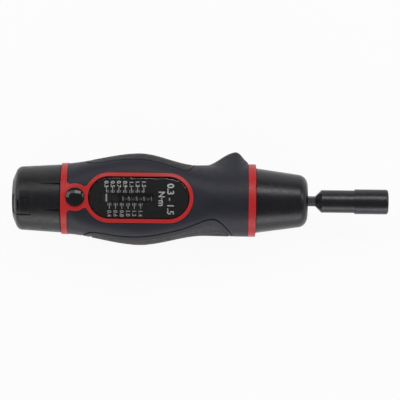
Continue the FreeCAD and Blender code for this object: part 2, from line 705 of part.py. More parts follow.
def main_spring():
    body = new_body("main_spring")
    sketch = new_sketch(body, "spring_wire_outline", "XY_Plane")
    centre = Vector(size("spring_start"), size("spring_radius"), 0)
    wire = sketch.addGeometry(Part.Circle(centre, Vector(0, 0, 1), size("spring_wire_radius")))
    for kind, formula in (("DistanceX", "spring_start + spring_wire_radius"),
                          ("DistanceY", "spring_radius")):
        index = sketch.addConstraint(Sketcher.Constraint(kind, -1, 1, wire, 3, size("spring_radius")))
        sketch.setExpression(f"Constraints[{index}]", linked(formula))
    index = sketch.addConstraint(Sketcher.Constraint("Radius", wire, size("spring_wire_radius")))
    sketch.setExpression(f"Constraints[{index}]", linked("spring_wire_radius"))
    coils = body.newObject("PartDesign::AdditiveHelix", "spring_coils")
    coils.Profile = sketch
    coils.ReferenceAxis = (sketch, ["H_Axis"])
    coils.Mode = 0
    bind(coils, Pitch="spring_pitch", Height="spring_length - 2 * spring_wire_radius")
    return body


def adjuster_nut():
    body = turned_piece("nut_body", [
        ("spring_end - nut_hub_length", "screw_radius + running_fit"),
        ("spring_end - nut_hub_length", "nut_hub_radius"),
        ("spring_end", "nut_hub_radius"),
        ("spring_end", "nut_radius"),
        ("nut_end", "nut_radius"),
        ("nut_end", "screw_radius + running_fit"),
    ])
    arm = box("indicator_arm", "indicator_place - arm_length / 2", "indicator_place + arm_length / 2",
              "slot_width - 2 * free_gap", f"nut_radius - {OVERRUN}", "arm_top")
    return join("adjuster_nut", [body, arm])


def lead_screw():
    body = new_body("lead_screw")
    revolve(body, "screw_turning", [
        ("screw_tip", "0"),
        ("screw_tip", "screw_radius"),
        ("collar_front", "screw_radius"),
        ("collar_front", "screw_collar_radius"),
        ("collar_rear", "screw_collar_radius"),
        ("collar_rear", "screw_journal_radius"),
        ("lock_ring_front - running_fit", "screw_journal_radius"),
        ("lock_ring_front - running_fit", "0"),
    ])
    extrude(body, "screw_drive", "Pad", hexagon_corners("drive_flats", "0"),
            "lock_ring_front - running_fit", "knob_web_front - lock_ring_front - running_fit")
    revolve(body, "tapped_hole", [
        ("knob_web_rear - screw_hole_depth", "0"),
        ("knob_web_rear - screw_hole_depth", "screw_shank_radius + fit"),
        ("knob_web_front", "screw_shank_radius + fit"),
        ("knob_web_front", "0"),
    ], kind="Groove")
    return body


def lock_ring():
    body = new_body("lock_ring")
    revolve(body, "lock_ring_turning", [
        ("lock_ring_front", "0"),
        ("lock_ring_front", "lock_ring_radius"),
        ("lock_ring_rear", "lock_ring_radius"),
        ("lock_ring_rear", "0"),
    ])
    extrude(body, "lock_ring_bore", "Pocket", hexagon_corners("drive_flats + 2 * fit", "0"),
            "lock_ring_front", "lock_ring_length")
    notch = extrude(body, "lock_notch", "Pocket", [
        ("-lock_notch_width / 2", "lock_ring_radius - lock_notch_depth"),
        ("lock_notch_width / 2", "lock_ring_radius - lock_notch_depth"),
        ("lock_notch_width / 2", f"lock_ring_radius + {OVERRUN}"),
        ("-lock_notch_width / 2", f"lock_ring_radius + {OVERRUN}"),
    ], "lock_ring_front", "lock_ring_length")
    repeat(body, notch, notch.Profile[0], "N_Axis", "lock_notch_count")
    return body


# ---------------------------------------------------------------- knob


def knob_slope():
    """Fall of the knob's radius for each millimetre to the rear, as a formula."""
    return "(knob_front_radius - knob_rear_radius) / (knob_length - knob_edge)"


def round_knob_edge(body, turning, depth):
    """Round the two corners of the slope at the knob's rear edge, or at a depth below its surface."""
    doc.recompute()
    first = blend(body, turning, turning.Name + "_edge", "Fillet",
                  [(size("tool_length") - size("knob_edge"), size("knob_rear_radius") - depth)],
                  "knob_edge_round")
    face_radius = size("knob_rear_radius") - size("knob_edge_fall")
    blend(body, first, turning.Name + "_face", "Fillet",
          [(size("tool_length") - depth, face_radius)], "knob_face_round")


def knob_sectors(body, name, kind, angle, corners):
    """Turn an outline through an angle, once for each of the knob's lands."""
    sketch = polygon(new_sketch(body, name + "_outline", "XY_Plane", turn=45), corners)
    sector = body.newObject("PartDesign::" + kind, name)
    sector.Profile = sketch
    sector.ReferenceAxis = (sketch, ["H_Axis"])
    sector.Midplane = True
    bind(sector, Angle=angle)
    return repeat(body, sector, sketch, "H_Axis", "land_count")


def knob_panel():
    """The stuff to cut for the panel: a shallow recess around its bars, parallel to the knob's surface."""
    floor = new_body("panel_floor")
    turning = revolve(floor, "panel_floor_turning", [
        ("knob_front", "0"),
        ("knob_front", "knob_front_radius - panel_depth"),
        ("tool_length - knob_edge", "knob_rear_radius - panel_depth"),
        ("tool_length - panel_depth", "knob_rear_radius - knob_edge_fall"),
        ("tool_length - panel_depth", "0"),
    ])
    round_knob_edge(floor, turning, size("panel_depth"))
    low, high = "knob_rear_radius - knob_edge_fall", f"knob_front_radius + {OVERRUN}"
    recess = box("panel_box", "tool_length - panel_length", f"tool_length + {OVERRUN}", "panel_width",
                 low, high, turn="panel_turn")
    bars = []
    for k in range(int(size("panel_bar_count"))):
        middle = f"tool_length - panel_length + panel_length / (panel_bar_count + 1) * {k + 1}"
        bars.append(box(f"panel_bar_{k}", f"{middle} - panel_bar_width / 2",
                        f"{middle} + panel_bar_width / 2", "panel_bar_length",
                        low, high, turn="panel_turn"))
    return cut("panel_recess", recess, join("panel_islands", [floor] + bars))


def knob():
    body = new_body("knob_body")
    turning = revolve(body, "knob_turning", [
        ("lock_ring_rear + seat_play", "0"),
        ("lock_ring_rear + seat_play", "knob_hub_radius"),
        ("knob_front - knob_spigot_length", "knob_hub_radius"),
        ("knob_front - knob_spigot_length", "knob_spigot_radius"),
        ("knob_front", "knob_spigot_radius"),
        ("knob_front", "knob_front_radius"),
        ("tool_length - knob_edge", "knob_rear_radius"),
        ("tool_length", "knob_rear_radius - knob_edge_fall"),
        ("tool_length", "cap_radius"),
        ("cap_front", "cap_radius"),
        ("cap_front", "cap_bore_radius"),
        ("knob_web_rear", "cap_bore_radius"),
        ("knob_web_rear", "0"),
    ])
    round_knob_edge(body, turning, 0)
    lower = f"knob_front_radius - land_length * {knob_slope()}"
    knob_sectors(body, "land_trench", "Groove", "land_angle + 2 * trench_angle", [
        ("knob_front", "knob_front_radius - trench_depth"),
        ("knob_front", f"knob_front_radius + {OVERRUN}"),
        ("knob_front + land_length", f"knob_front_radius + {OVERRUN}"),
        ("knob_front + land_length", lower),
    ])
    knob_sectors(body, "knob_land", "Revolution", "land_angle", [
        ("knob_front", f"knob_front_radius - {OVERRUN}"),
        ("knob_front", "knob_front_radius + land_height"),
        ("knob_front + land_length", lower),
        ("knob_front + land_length", f"{lower} - {OVERRUN}"),
    ])
    extrude(body, "knob_bore", "Pocket", hexagon_corners("drive_flats + 2 * fit", "0"),
            "lock_ring_rear + seat_play", "knob_drive_length")
    extrude(body, "knob_screw_hole", "Pocket", hexagon_corners("2 * screw_shank_radius + 2 * free_gap", "0"),
            "knob_web_front", "knob_web_length")
    return cut("knob", body, knob_panel())


def knob_screw():
    body = new_body("knob_screw")
    revolve(body, "knob_screw_turning", [
        ("knob_web_rear - screw_shank_length", "0"),
        ("knob_web_rear - screw_shank_length", "screw_shank_radius"),
        ("knob_web_rear", "screw_shank_radius"),
        ("knob_web_rear", "screw_head_radius"),
        ("knob_web_rear + screw_head_length", "screw_head_radius"),
        ("knob_web_rear + screw_head_length", "0"),
    ])
    extrude(body, "screw_key_socket", "Pocket", hexagon_corners("screw_key_flats", "0"),
            "knob_web_rear + screw_head_length - screw_key_depth", "screw_key_depth")
    return body


# ---------------------------------------------------------------- lock button


def stand_at_button(body):
    """Move a body whose own z is vertical to the lock button's axis."""
    bind(body, Placement__Base__x="-button_station")
    return body


def lock_button():
    body = new_body("lock_button")
    revolve(body, "button_turning", [
        ("pin_radius", "button_crown"),
        ("button_pocket_radius", "button_crown"),
        ("button_pocket_radius", "button_skirt"),
        ("button_radius", "button_skirt"),
        ("button_radius", "button_side"),
        ("0", "button_side"),
        ("0", "pin_top"),
        ("pin_radius", "pin_top"),
    ], plane="XZ_Plane", axis="V_Axis")
    # the dome is the cap of a sphere whose centre lies on the button's axis
    sketch = new_sketch(body, "dome_outline", "XZ_Plane")
    radius = size("button_radius")
    rise = size("button_dome")
    side = size("button_side")
    ball = (radius**2 + rise**2) / (2 * rise)
    middle = Vector(radius / 2, side + rise - ball + math.sqrt(ball**2 - radius**2 / 4), 0)
    rim = Vector(radius, side, 0)
    crown = Vector(0, side + rise, 0)
    foot = Vector(0, side, 0)
    sketch.addGeometry(Part.Arc(rim, middle, crown))
    sketch.addGeometry(Part.LineSegment(crown, foot))
    sketch.addGeometry(Part.LineSegment(foot, rim))
    sketch.addConstraint(Sketcher.Constraint("Coincident", 0, 2, 1, 1))
    sketch.addConstraint(Sketcher.Constraint("Coincident", 1, 2, 2, 1))
    sketch.addConstraint(Sketcher.Constraint("Coincident", 2, 2, 0, 1))
    sketch.addConstraint(Sketcher.Constraint("PointOnObject", 0, 3, -2))
    place_point(sketch, 2, ("0", "button_side"))
    place_point(sketch, 1, ("0", "button_side + button_dome"))
    place_point(sketch, 0, ("button_radius", "button_side"))
    dome = body.newObject("PartDesign::Revolution", "button_dome")
    dome.Profile = sketch
    dome.ReferenceAxis = (sketch, ["V_Axis"])
    dome.Angle = 360
    return stand_at_button(body)


def lock_pin_parts():
    """The pin below the button, with a groove for its clip, and the clip."""
    clip_top = "chamber_top - running_fit"
    clip_bottom = f"{clip_top} - clip_thickness"
    pin = new_body("lock_pin")
    revolve(pin, "pin_turning", [
        ("0", "pin_bottom"),
        ("pin_radius", "pin_bottom"),
        ("pin_radius", clip_bottom),
        ("clip_bore_radius", clip_bottom),
        ("clip_bore_radius", clip_top),
        ("pin_radius", clip_top),
        ("pin_radius", "pin_top"),
        ("0", "pin_top"),
    ], plane="XZ_Plane", axis="V_Axis")
    clip = new_body("pin_clip")
    revolve(clip, "clip_turning", [
        ("clip_bore_radius", clip_bottom),
        ("clip_radius", clip_bottom),
        ("clip_radius", clip_top),
        ("clip_bore_radius", clip_top),
    ], plane="XZ_Plane", axis="V_Axis")
    return [stand_at_button(pin), stand_at_button(clip)]


def button_spring():
    body = new_body("button_spring")
    sketch = new_sketch(body, "button_wire_outline", "XZ_Plane")
    centre = Vector(size("button_spring_radius"), size("button_floor"), 0)
    wire = sketch.addGeometry(Part.Circle(centre, Vector(0, 0, 1), size("button_spring_wire")))
    for kind, formula in (("DistanceX", "button_spring_radius"),
                          ("DistanceY", "button_floor + button_spring_wire")):
        index = sketch.addConstraint(Sketcher.Constraint(kind, -1, 1, wire, 3, size("button_spring_radius")))
        sketch.setExpression(f"Constraints[{index}]", linked(formula))
    index = sketch.addConstraint(Sketcher.Constraint("Radius", wire, size("button_spring_wire")))
    sketch.setExpression(f"Constraints[{index}]", linked("button_spring_wire"))
    height = "(button_crown - button_floor - 2 * button_spring_wire)"
    coils = body.newObject("PartDesign::AdditiveHelix", "button_coils")
    coils.Profile = sketch
    coils.ReferenceAxis = (sketch, ["V_Axis"])
    coils.Mode = 0
    bind(coils, Pitch=f"{height} / button_spring_turns", Height=height)
    return stand_at_button(body)


# ---------------------------------------------------------------- handle surface


def smooth(x):
    """0 below 0, 1 above 1 and a smooth rise between."""
    x = min(max(x, 0.0), 1.0)
    return x * x * (3 - 2 * x)


def half_width(station, side):
    """Half width of the rubber at a station: side is 1 on the low side, -1 on the high side."""
    straight = size("ring_front") + size("flare_length")
    waist = size("waist_station") if side > 0 else size("waist_high_station")
    bulge = size("bulge_station")
    rear = size("ring_rear")
    narrow = size("waist_low_half_width") if side > 0 else size("waist_high_half_width")
    flare = size("flare_half_width")
    wide = size("bulge_half_width")
    tail = size("tail_half_width")
    if station < waist:
        return flare + (narrow - flare) * smooth((station - straight) / (waist - straight))
    if station < bulge:
        return narrow + (wide - narrow) * smooth((station - waist) / (bulge - waist))
    return wide + (tail - wide) * smooth((station - bulge) / (rear - bulge))


def flatness(station):
    """0 where the handle is round, 1 where its section is squarest."""
    start = size("waist_station") - size("square_start")
    rise = smooth((station - start) / size("square_rise"))
    return rise * smooth((size("ring_rear") - station) / size("square_fall"))


def section_measures(station, side, grow):
    """Half width, top, back and the two exponents of the section at a station."""
    width = half_width(station, side)
    spread = size("bulge_half_width") - size("tail_half_width")
    swell = min(max((width - size("tail_half_width")) / spread, 0.0), 1.0)
    back = size("handle_back") + size("handle_back_swell") * swell
    flat = flatness(station)
    top_power = 2 + size("handle_squareness") * flat
    back_power = 2 + size("back_squareness") * flat
    return width + grow, size("handle_top") + grow, back + grow, top_power, back_power


def lobe_crest(station):
    """Height of the anti-roll lobe above the axis."""
    crest = size("ring_front") + size("lobe_place")
    base = half_width(station, -1)
    if station > crest:
        share = 1 - smooth((station - crest) / size("lobe_rise_length"))
    else:
        share = 1 - smooth((crest - station) / size("lobe_fall_length"))
    return base + (size("lobe_height") - base) * share


def lobe_radius(station, base, angle, grow):
    """Distance of the lobe's outline from the axis at an angle from its crest, 0 where there is none."""
    tip = size("lobe_tip_radius") + grow
    height = lobe_crest(station) + grow
    centre = height - tip
    if centre <= base - tip + 1e-9:
        return 0.0
    normal = math.acos((base - tip) / centre)
    meeting = math.atan2(tip * math.sin(normal), centre + tip * math.cos(normal))
    if angle < meeting:
        return centre * math.cos(angle) + math.sqrt(tip**2 - (centre * math.sin(angle)) ** 2)
    if angle < normal:
        return base / math.cos(angle - normal)
    return 0.0


# angles about the axis, from the low side over the window: finer around the lobe, at half a turn
SECTION_ANGLES = (
    [math.radians(8 * k) for k in range(17)]
    + [math.radians(134 + 4 * k) for k in range(24)]
    + [math.radians(232 + 8 * k) for k in range(16)]
)


def section_point(station, angle, grow, lobed):
    """Across and height of the section's outline."""
    side = 1 if math.cos(angle) >= 0 else -1
    width, top, back, top_power, back_power = section_measures(station, side, grow)
    height, power = (top, top_power) if math.sin(angle) >= 0 else (back, back_power)
    across = width * math.copysign(abs(math.cos(angle)) ** (2 / power), math.cos(angle))
    up = height * math.copysign(abs(math.sin(angle)) ** (2 / power), math.sin(angle))
    if lobed and across < 0:
        distance = math.hypot(across, up)
        reach = lobe_radius(station, width, abs(math.atan2(up, -across)), grow)
        if reach > distance:
            across, up = across * reach / distance, up * reach / distance
    return across, up


def section_wire(station, grow, lobed):
    points = [
        Vector(station, *section_point(station, angle, grow, lobed)) for angle in SECTION_ANGLES
    ]
    curve = Part.BSplineCurve()
    curve.interpolate(
        Points=points,
        PeriodicFlag=True,
        Parameters=SECTION_ANGLES + [2 * math.pi + SECTION_ANGLES[0]],
    )
    return Part.Wire(curve.toShape())


def handle_solid(grow, lobed, front, rear):
    """The handle's outer form between two stations, grown or shrunk all round."""
    wires = []
    station = front
    while station < rear - 1e-6:
        wires.append(section_wire(station, grow, lobed))
        station += LOBE_STEP if lobed and station < size("waist_station") else PLAIN_STEP
    wires.append(section_wire(rear, grow, lobed))
    return Part.makeLoft(wires, True, False)


def side_point(station, height, side, lift):
    """A point of the rubber's side at a station and height, lifted outwards."""
    width, top, back, top_power, back_power = section_measures(station, side, 0)
    limit, power = (top, top_power) if height >= 0 else (back, back_power)
    across = width * (1 - min(abs(height) / limit, 1.0) ** power) ** (1 / power)
    return Vector(station, side * (across + lift), height)


# ---------------------------------------------------------------- handle pieces in code


def slab(front, rear, half, bottom, top):
    """A box between two stations, in the drawing frame."""
    return Part.makeBox(rear - front, 2 * half, top - bottom, Vector(front, -half, bottom))


def stadium_solid(front, rear, radius, bottom, top):
    ends = [
        Part.makeCylinder(radius, top - bottom, Vector(station, 0, bottom))
        for station in (front + radius, rear - radius)
    ]
    middle = slab(front + radius, rear - radius, radius, bottom, top)
    return middle.multiFuse(ends).removeSplitter()


def upright_edges(solid, spots):
    """The vertical edges of a solid that stand at (station, across) spots."""
    found = []
    for edge in solid.Edges:
        ends = [vertex.Point for vertex in edge.Vertexes]
        if len(ends) != 2 or abs(ends[0].z - ends[1].z) < 1:
            continue
        for station, across in spots:
            if math.hypot(ends[0].x - station, ends[0].y - across) < 0.02:
                found.append(edge)
    return found


def trim_block(grow):
    """The upright block whose top shows as window frame, collar and their link to the rear ring."""
    bottom, top = size("handle_top") / 2, size("handle_top") + TRIM_REACH
    front = size("window_front") - grow
    rear = size("window_rear") + grow
    radius = size("frame_half_width") + grow
    button = size("button_station")
    collar_radius = size("collar_radius") + grow
    ring = size("grip_rear") - grow
    frame = stadium_solid(front, rear, radius, bottom, top)
    collar = Part.makeCylinder(collar_radius, top - bottom, Vector(button, 0, bottom))
    band = slab(ring, size("ring_rear") + OVERRUN, FAR, bottom, top)
    block = frame.multiFuse([collar, band]).removeSplitter()
    centre = rear - radius
    apart = button - centre
    along = (apart**2 + radius**2 - collar_radius**2) / (2 * apart)
    across = math.sqrt(radius**2 - along**2)
    reach = math.sqrt(collar_radius**2 - (ring - button) ** 2)
    spots = [(centre + along, side * across) for side in (1, -1)]
    spots += [(ring, side * reach) for side in (1, -1)]
    edges = upright_edges(block, spots)
    if len(edges) != len(spots):
        raise RuntimeError("the trim's corners were not found")
    return block.makeFillet(size("collar_fillet") - grow, edges)


def window_lead():
    """A station ahead of the window, where the surfaces that shape it start."""
    return min(size("waist_station"), size("window_front")) - PLAIN_STEP


def round_bar(start, end, radius):
    return Part.makeCylinder(radius, end - start, Vector(start, 0, 0), Vector(1, 0, 0))


def core_outside():
    """The red core's outer form: the tube under the rubber, both rings and the trim."""
    front, rear = size("ring_front"), size("ring_rear")
    tube = handle_solid(-size("grip_thickness"), False, front + OVERRUN, rear - OVERRUN)
    front_ring = round_bar(front, size("grip_front"), size("front_ring_radius"))
    edge = [e for e in front_ring.Edges if abs(e.BoundBox.XMax - front) < 1e-6]
    front_ring = front_ring.makeFillet(size("ring_edge_radius"), edge)
    proud_solid = handle_solid(size("frame_proud"), False, window_lead(), rear)
    rear_band = slab(size("grip_rear"), rear + OVERRUN, FAR, -FAR, FAR)
    skin = proud_solid.common(trim_block(0).fuse(rear_band))
    return tube.fuse(front_ring).fuse(skin)


def keyway(angle):
    width = size("key_width") + 2 * size("free_gap")
    radius = size("key_radius") + size("free_gap")
    end = size("plate_rear") + size("dimple_depth") + OVERRUN
    block = slab(size("spigot_end"), end, width / 2, 0, radius)
    block.rotate(Vector(0, 0, 0), Vector(1, 0, 0), angle)
    return block


def core_inside():
    """All that is cut from the core: bores, keyways, window pocket, slot and button bore."""
    above = size("handle_top") + TRIM_REACH
    pocket_radius = size("frame_half_width") - size("frame_rim")
    button = size("button_station")
    clear = size("free_gap")
    tools = [
        round_bar(size("ring_front") - OVERRUN, size("spigot_end") + size("seat_play"),
                  size("spigot_radius") + size("fit")),
        round_bar(size("spigot_end"), size("web_front"), size("core_bore_radius")),
        round_bar(size("web_front") - OVERRUN, size("web_rear") + OVERRUN,
                  size("screw_journal_radius") + size("running_fit")),
        round_bar(size("web_rear"), size("ring_rear") + OVERRUN, size("chamber_radius")),
        stadium_solid(size("window_front") + size("frame_rim"),
                      size("window_rear") - size("frame_rim"), pocket_radius,
                      size("plate_base"), above),
        slab(size("slot_front") - size("core_slot_margin"), size("slot_rear") + size("core_slot_margin"),
             size("slot_width") / 2 + size("core_slot_margin"), 0, above),
        Part.makeCylinder(size("button_radius") + clear, above,
                          Vector(button, 0, size("button_floor"))),
        Part.makeCylinder(size("pin_radius") + size("running_fit"), above, Vector(button, 0, 0)),
    ]
    turn = 360 / size("key_count")
    tools += [keyway(turn * k) for k in range(int(size("key_count")))]
    return tools


def pad_outline(side, inset):
    """Stations and half heights along a side pad's border, from its front tip to its rear tip."""
    # the inner border stands back further at the rear tip than at the front tip
    rear = size("ring_rear") - size("pad_rear_end") - PAD_REAR_SHARE * inset
    if side > 0:
        front = size("ring_front") + size("pad_front_end")
        front_round = size("pad_front_round")
    else:
        front = size("ring_front") + size("pad_short_end")
        front_round = size("pad_short_round")
    front += PAD_FRONT_SHARE * inset
    rear_round = size("pad_rear_round")
    full_front = size("ring_front") + size("pad_front_end") + size("pad_front_round")
    full_rear = rear - rear_round

    def straight_height(station):
        share = (station - full_front) / (full_rear - full_front)
        rise = size("pad_rear_height") - size("pad_front_height")
        return size("pad_front_height") + rise * share - inset

    outline = []
    steps = 6
    for k in range(steps):
        turn = math.pi / 2 * k / steps
        station = front + front_round * (1 - math.cos(turn))
        outline.append((station, straight_height(front + front_round) * math.sin(turn)))
    straight_start, straight_end = front + front_round, rear - rear_round
    straights = 7
    for k in range(straights + 1):
        station = straight_start + (straight_end - straight_start) * k / straights
        outline.append((station, straight_height(station)))
    for k in range(1, steps + 1):
        turn = math.pi / 2 * k / steps
        station = straight_end + rear_round * math.sin(turn)
        outline.append((station, straight_height(straight_end) * math.cos(turn)))
    return outline


def pad_prism(side, inset):
    """A bar across the handle's side whose section is the pad's outline."""
    upper = pad_outline(side, inset)
    lower = [(station, -height) for station, height in reversed(upper[1:-1])]
    points = [Vector(station, 0, height) for station, height in upper + lower]
    outline = Part.BSplineCurve()
    outline.interpolate(Points=points, PeriodicFlag=True)
    face = Part.Face(Part.Wire(outline.toShape()))
    return face.extrude(Vector(0, side * FAR, 0))


def texture_field(side, floor):
    """The stuff to cut from the rubber for a pad's textured field, down to the floor's surface."""
    return pad_prism(side, size("pad_border")).cut(floor)


def border_groove(side, inset, floor):
    """The stuff to cut from the rubber for one border groove, down to the floor's surface."""
    ring = pad_prism(side, inset).cut(pad_prism(side, inset + size("groove_width")))
    return ring.cut(floor)


def badge_block(side, grow):
    """An oval bar across the handle's side at the bulge."""
    oval = Part.Ellipse(
        Vector(size("bulge_station"), 0, 0),
        size("badge_length") / 2 + grow,
        size("badge_height") / 2 + grow,
    )
    face = Part.Face(Part.Wire(oval.toShape()))
    face.rotate(Vector(0, 0, 0), Vector(1, 0, 0), 90)
    return face.extrude(Vector(0, side * FAR, 0))


def code_piece(label, shape):
    """A piece whose shape is made here from the sheets' numbers."""
    piece = doc.addObject("Part::Feature", label)
    piece.Label = label
    piece.Shape = shape
    piece.Placement = FACING
    return piece


def handle_core():
    core = core_outside()
    for tool in core_inside():
        core = core.cut(tool)
    return code_piece("handle_core", core)


def handle_grip():
    front = size("grip_front") + size("bond")
    rear = size("grip_rear") - size("bond")
    outside = handle_solid(0, True, front, rear)
    outside = outside.cut(slab(front - OVERRUN, rear + OVERRUN, FAR, -FAR, -size("rest_depth")))
    under = size("bond") - size("grip_thickness")
    inside = handle_solid(under, False, front - OVERRUN, rear + OVERRUN)
    shell = outside.cut(inside).cut(trim_block(size("bond")))
    seat_depth = size("badge_depth") + size("bond")
    badge_seat = handle_solid(-seat_depth, False, front - OVERRUN, rear + OVERRUN)
    groove_floor = handle_solid(-size("groove_depth"), False, front - OVERRUN, rear + OVERRUN)
    field_floor = handle_solid(-size("field_depth"), False, front - OVERRUN, rear + OVERRUN)
    grooves = []
    for side in (1, -1):
        for inset in (0.0, size("pad_border")):
            grooves.append(border_groove(side, inset, groove_floor))
        grooves.append(texture_field(side, field_floor))
        grooves.append(badge_block(side, size("bond")).cut(badge_seat))
    for groove in grooves:
        shell = shell.cut(groove)
    return code_piece("handle_grip", shell)


def badges():
    front, rear = size("waist_station"), size("ring_rear")
    outer = handle_solid(size("badge_proud"), False, front, rear)
    inner = handle_solid(-size("badge_depth"), False, front, rear)
    pieces = []
    for name, side in (("badge_low", 1), ("badge_high", -1)):
        pieces.append(code_piece(name, badge_block(side, 0).common(outer).cut(inner)))
    return pieces


def window_pieces():
    fit = size("free_gap") / 2
    above = size("handle_top") + TRIM_REACH
    radius = size("frame_half_width") - size("frame_rim") - fit
    front = size("window_front") + size("frame_rim") + fit
    rear = size("window_rear") - size("frame_rim") - fit
    roof = handle_solid(-size("lens_recess"), False, window_lead(), size("ring_rear"))
    lens = stadium_solid(front, rear, radius, size("lens_base"), above).common(roof)
    plate = stadium_solid(front, rear, radius, size("plate_base"), size("plate_top"))
    slot = slab(size("slot_front"), size("slot_rear"), size("slot_width") / 2, 0, above)
    return [code_piece("window_lens", lens), code_piece("scale_plate", plate.cut(slot))]


# ---------------------------------------------------------------- the whole tool


def build_pieces():
    pieces = [
        nut_setter(),
        cylinder("setter_magnet", "nut_depth", "setter_magnet_length", "setter_magnet_radius"),
        spindle(),
        cylinder("spindle_magnet", "shank_end + seat_play", "spindle_magnet_length",
                 "spindle_magnet_radius"),
        clutch_balls(),
        clutch_plate(),
        turned_piece("spring_washer", tube_corners(
            "plate_rear", "spring_start", "plate_hub_radius + running_fit", "seat_washer_radius")),
        nose_cap(),
        turned_piece("nose_seal", tube_corners(
            "seal_start", "seal_end - fit", "spindle_radius + running_fit", "seal_radius")),
        turned_piece("front_bush", tube_corners(
            "seal_end", "bush_end", "spindle_radius + running_fit", "bush_radius")),
        main_spring(),
        adjuster_nut(),
        box("indicator_line", "indicator_place - indicator_width / 2",
            "indicator_place + indicator_width / 2", "indicator_length",
            "arm_top", "arm_top + indicator_height"),
        lead_screw(),
        turned_piece("screw_washer", tube_corners(
            "collar_rear", "web_front", "screw_journal_radius + running_fit", "screw_washer_radius")),
        lock_ring(),
        knob(),
        knob_screw(),
        turned_piece("knob_cap", [
            ("cap_front", "0"),
            ("cap_front", "cap_radius - fit"),
            ("tool_length", "cap_radius - fit"),
            ("tool_length", "0"),
        ]),
        lock_button(),
        button_spring(),
        handle_core(),
        handle_grip(),
    ]
    return pieces + thrust_bearing() + lock_pin_parts() + badges() + window_pieces()


def check_and_write(pieces):
    doc.recompute()
    failed = [thing.Label for thing in doc.Objects if {"Invalid", "Error"} & set(thing.State)]
    if failed:
        raise RuntimeError(f"objects that failed: {failed}")
    for piece in pieces:
        if piece.Shape.isNull() or not piece.Shape.isValid():
            raise RuntimeError(f"{piece.Label} has no valid shape")
    os.makedirs("parts", exist_ok=True)
    for piece in pieces:
        piece.Shape.exportStep(f"parts/{piece.Label}.step")
        limits = piece.Shape.BoundBox
        print(f"{piece.Label:20s} solids {len(piece.Shape.Solids)} volume {piece.Shape.Volume:9.1f}"
              f"  x {limits.XMin:8.2f} {limits.XMax:8.2f}  y {limits.YMin:7.2f} {limits.YMax:7.2f}"
              f"  z {limits.ZMin:7.2f} {limits.ZMax:7.2f}")


fill_sheets()
check_and_write(build_pieces())
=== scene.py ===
"""Torque screwdriver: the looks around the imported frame.

Millimetres are used for the places worked out here, as stations: distances back from the nut
setter's front face, which lies at x = 0. Points turn into the frame's metres by MM.
"""

import math

import bmesh
import bpy
from mathutils import Matrix, Vector
from mathutils import noise as lumps


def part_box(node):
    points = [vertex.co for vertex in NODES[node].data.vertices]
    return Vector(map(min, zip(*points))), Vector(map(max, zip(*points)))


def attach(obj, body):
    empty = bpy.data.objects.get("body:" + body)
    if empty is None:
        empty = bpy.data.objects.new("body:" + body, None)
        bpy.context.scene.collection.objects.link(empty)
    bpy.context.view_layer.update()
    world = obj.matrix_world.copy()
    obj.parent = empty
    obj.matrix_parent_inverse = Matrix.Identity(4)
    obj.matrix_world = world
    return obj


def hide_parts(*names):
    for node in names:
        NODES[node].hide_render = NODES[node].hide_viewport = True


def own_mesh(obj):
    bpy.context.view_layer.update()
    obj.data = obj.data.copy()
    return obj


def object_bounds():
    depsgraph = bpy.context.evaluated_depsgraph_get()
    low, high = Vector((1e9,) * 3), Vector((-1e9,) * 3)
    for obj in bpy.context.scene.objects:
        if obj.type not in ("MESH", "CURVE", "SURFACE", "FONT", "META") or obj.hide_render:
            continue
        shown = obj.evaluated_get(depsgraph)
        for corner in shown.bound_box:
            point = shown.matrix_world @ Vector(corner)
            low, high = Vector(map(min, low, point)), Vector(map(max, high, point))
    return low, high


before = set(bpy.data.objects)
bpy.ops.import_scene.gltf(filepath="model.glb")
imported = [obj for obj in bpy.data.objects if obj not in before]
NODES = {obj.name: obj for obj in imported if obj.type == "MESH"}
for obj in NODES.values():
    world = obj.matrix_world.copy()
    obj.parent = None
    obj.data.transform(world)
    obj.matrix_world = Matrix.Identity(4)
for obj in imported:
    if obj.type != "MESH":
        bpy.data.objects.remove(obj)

CAD_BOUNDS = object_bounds()
MM = 0.001

# ---------------------------------------------------------------- places read from the frame

TAIL = -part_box("handle_core")[0].x / MM       # station of the rear ring's rear face
NOSE = -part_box("handle_core")[1].x / MM       # station of the front ring's front face
LENS_FRONT = -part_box("window_lens")[1].x / MM
LENS_REAR = -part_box("window_lens")[0].x / MM
LENS_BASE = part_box("window_lens")[0].z / MM
PLATE_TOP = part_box("scale_plate")[1].z / MM
LINE_STATION = -(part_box("indicator_line")[0].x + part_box("indicator_line")[1].x) / 2 / MM
FLOOR = CAD_BOUNDS[0][2]

# ---------------------------------------------------------------- the handle's surface

# Sides are 1 towards -Y, which is low in the main view, and -1 towards +Y.
BULGE = TAIL - 35.4                          # station of the widest place
WAIST = {1: TAIL - 64.7, -1: TAIL - 60.7}    # stations of the narrowest place on each side
STRAIGHT = NOSE + 8.0                        # station where the flare to the front ring ends
WIDE, TAIL_WIDTH, FLARE = 20.7, 15.95, 16.45     # half widths: bulge, rear ring, front ring
NARROW = {1: 16.25, -1: 15.7}                # half widths at the waists
TOP, BACK, BACK_SWELL = 16.3, 16.3, 1.4      # heights above and below the axis
SQUARE, BACK_SQUARE = 1.2, 0.3               # how much squarer than round the section gets
SQUARE_START, SQUARE_RISE, SQUARE_FALL = WAIST[1] - 6, 20, 14


def smooth(x):
    """Smooth step from 0 to 1 as x goes from 0 to 1."""
    x = min(max(x, 0.0), 1.0)
    return x * x * (3 - 2 * x)


def half_width(station, side):
    """Half width of the rubber at a station."""
    narrow, waist = NARROW[side], WAIST[side]
    if station < waist:
        return FLARE + (narrow - FLARE) * smooth((station - STRAIGHT) / (waist - STRAIGHT))
    if station < BULGE:
        return narrow + (WIDE - narrow) * smooth((station - waist) / (BULGE - waist))
    return WIDE + (TAIL_WIDTH - WIDE) * smooth((station - BULGE) / (TAIL - BULGE))


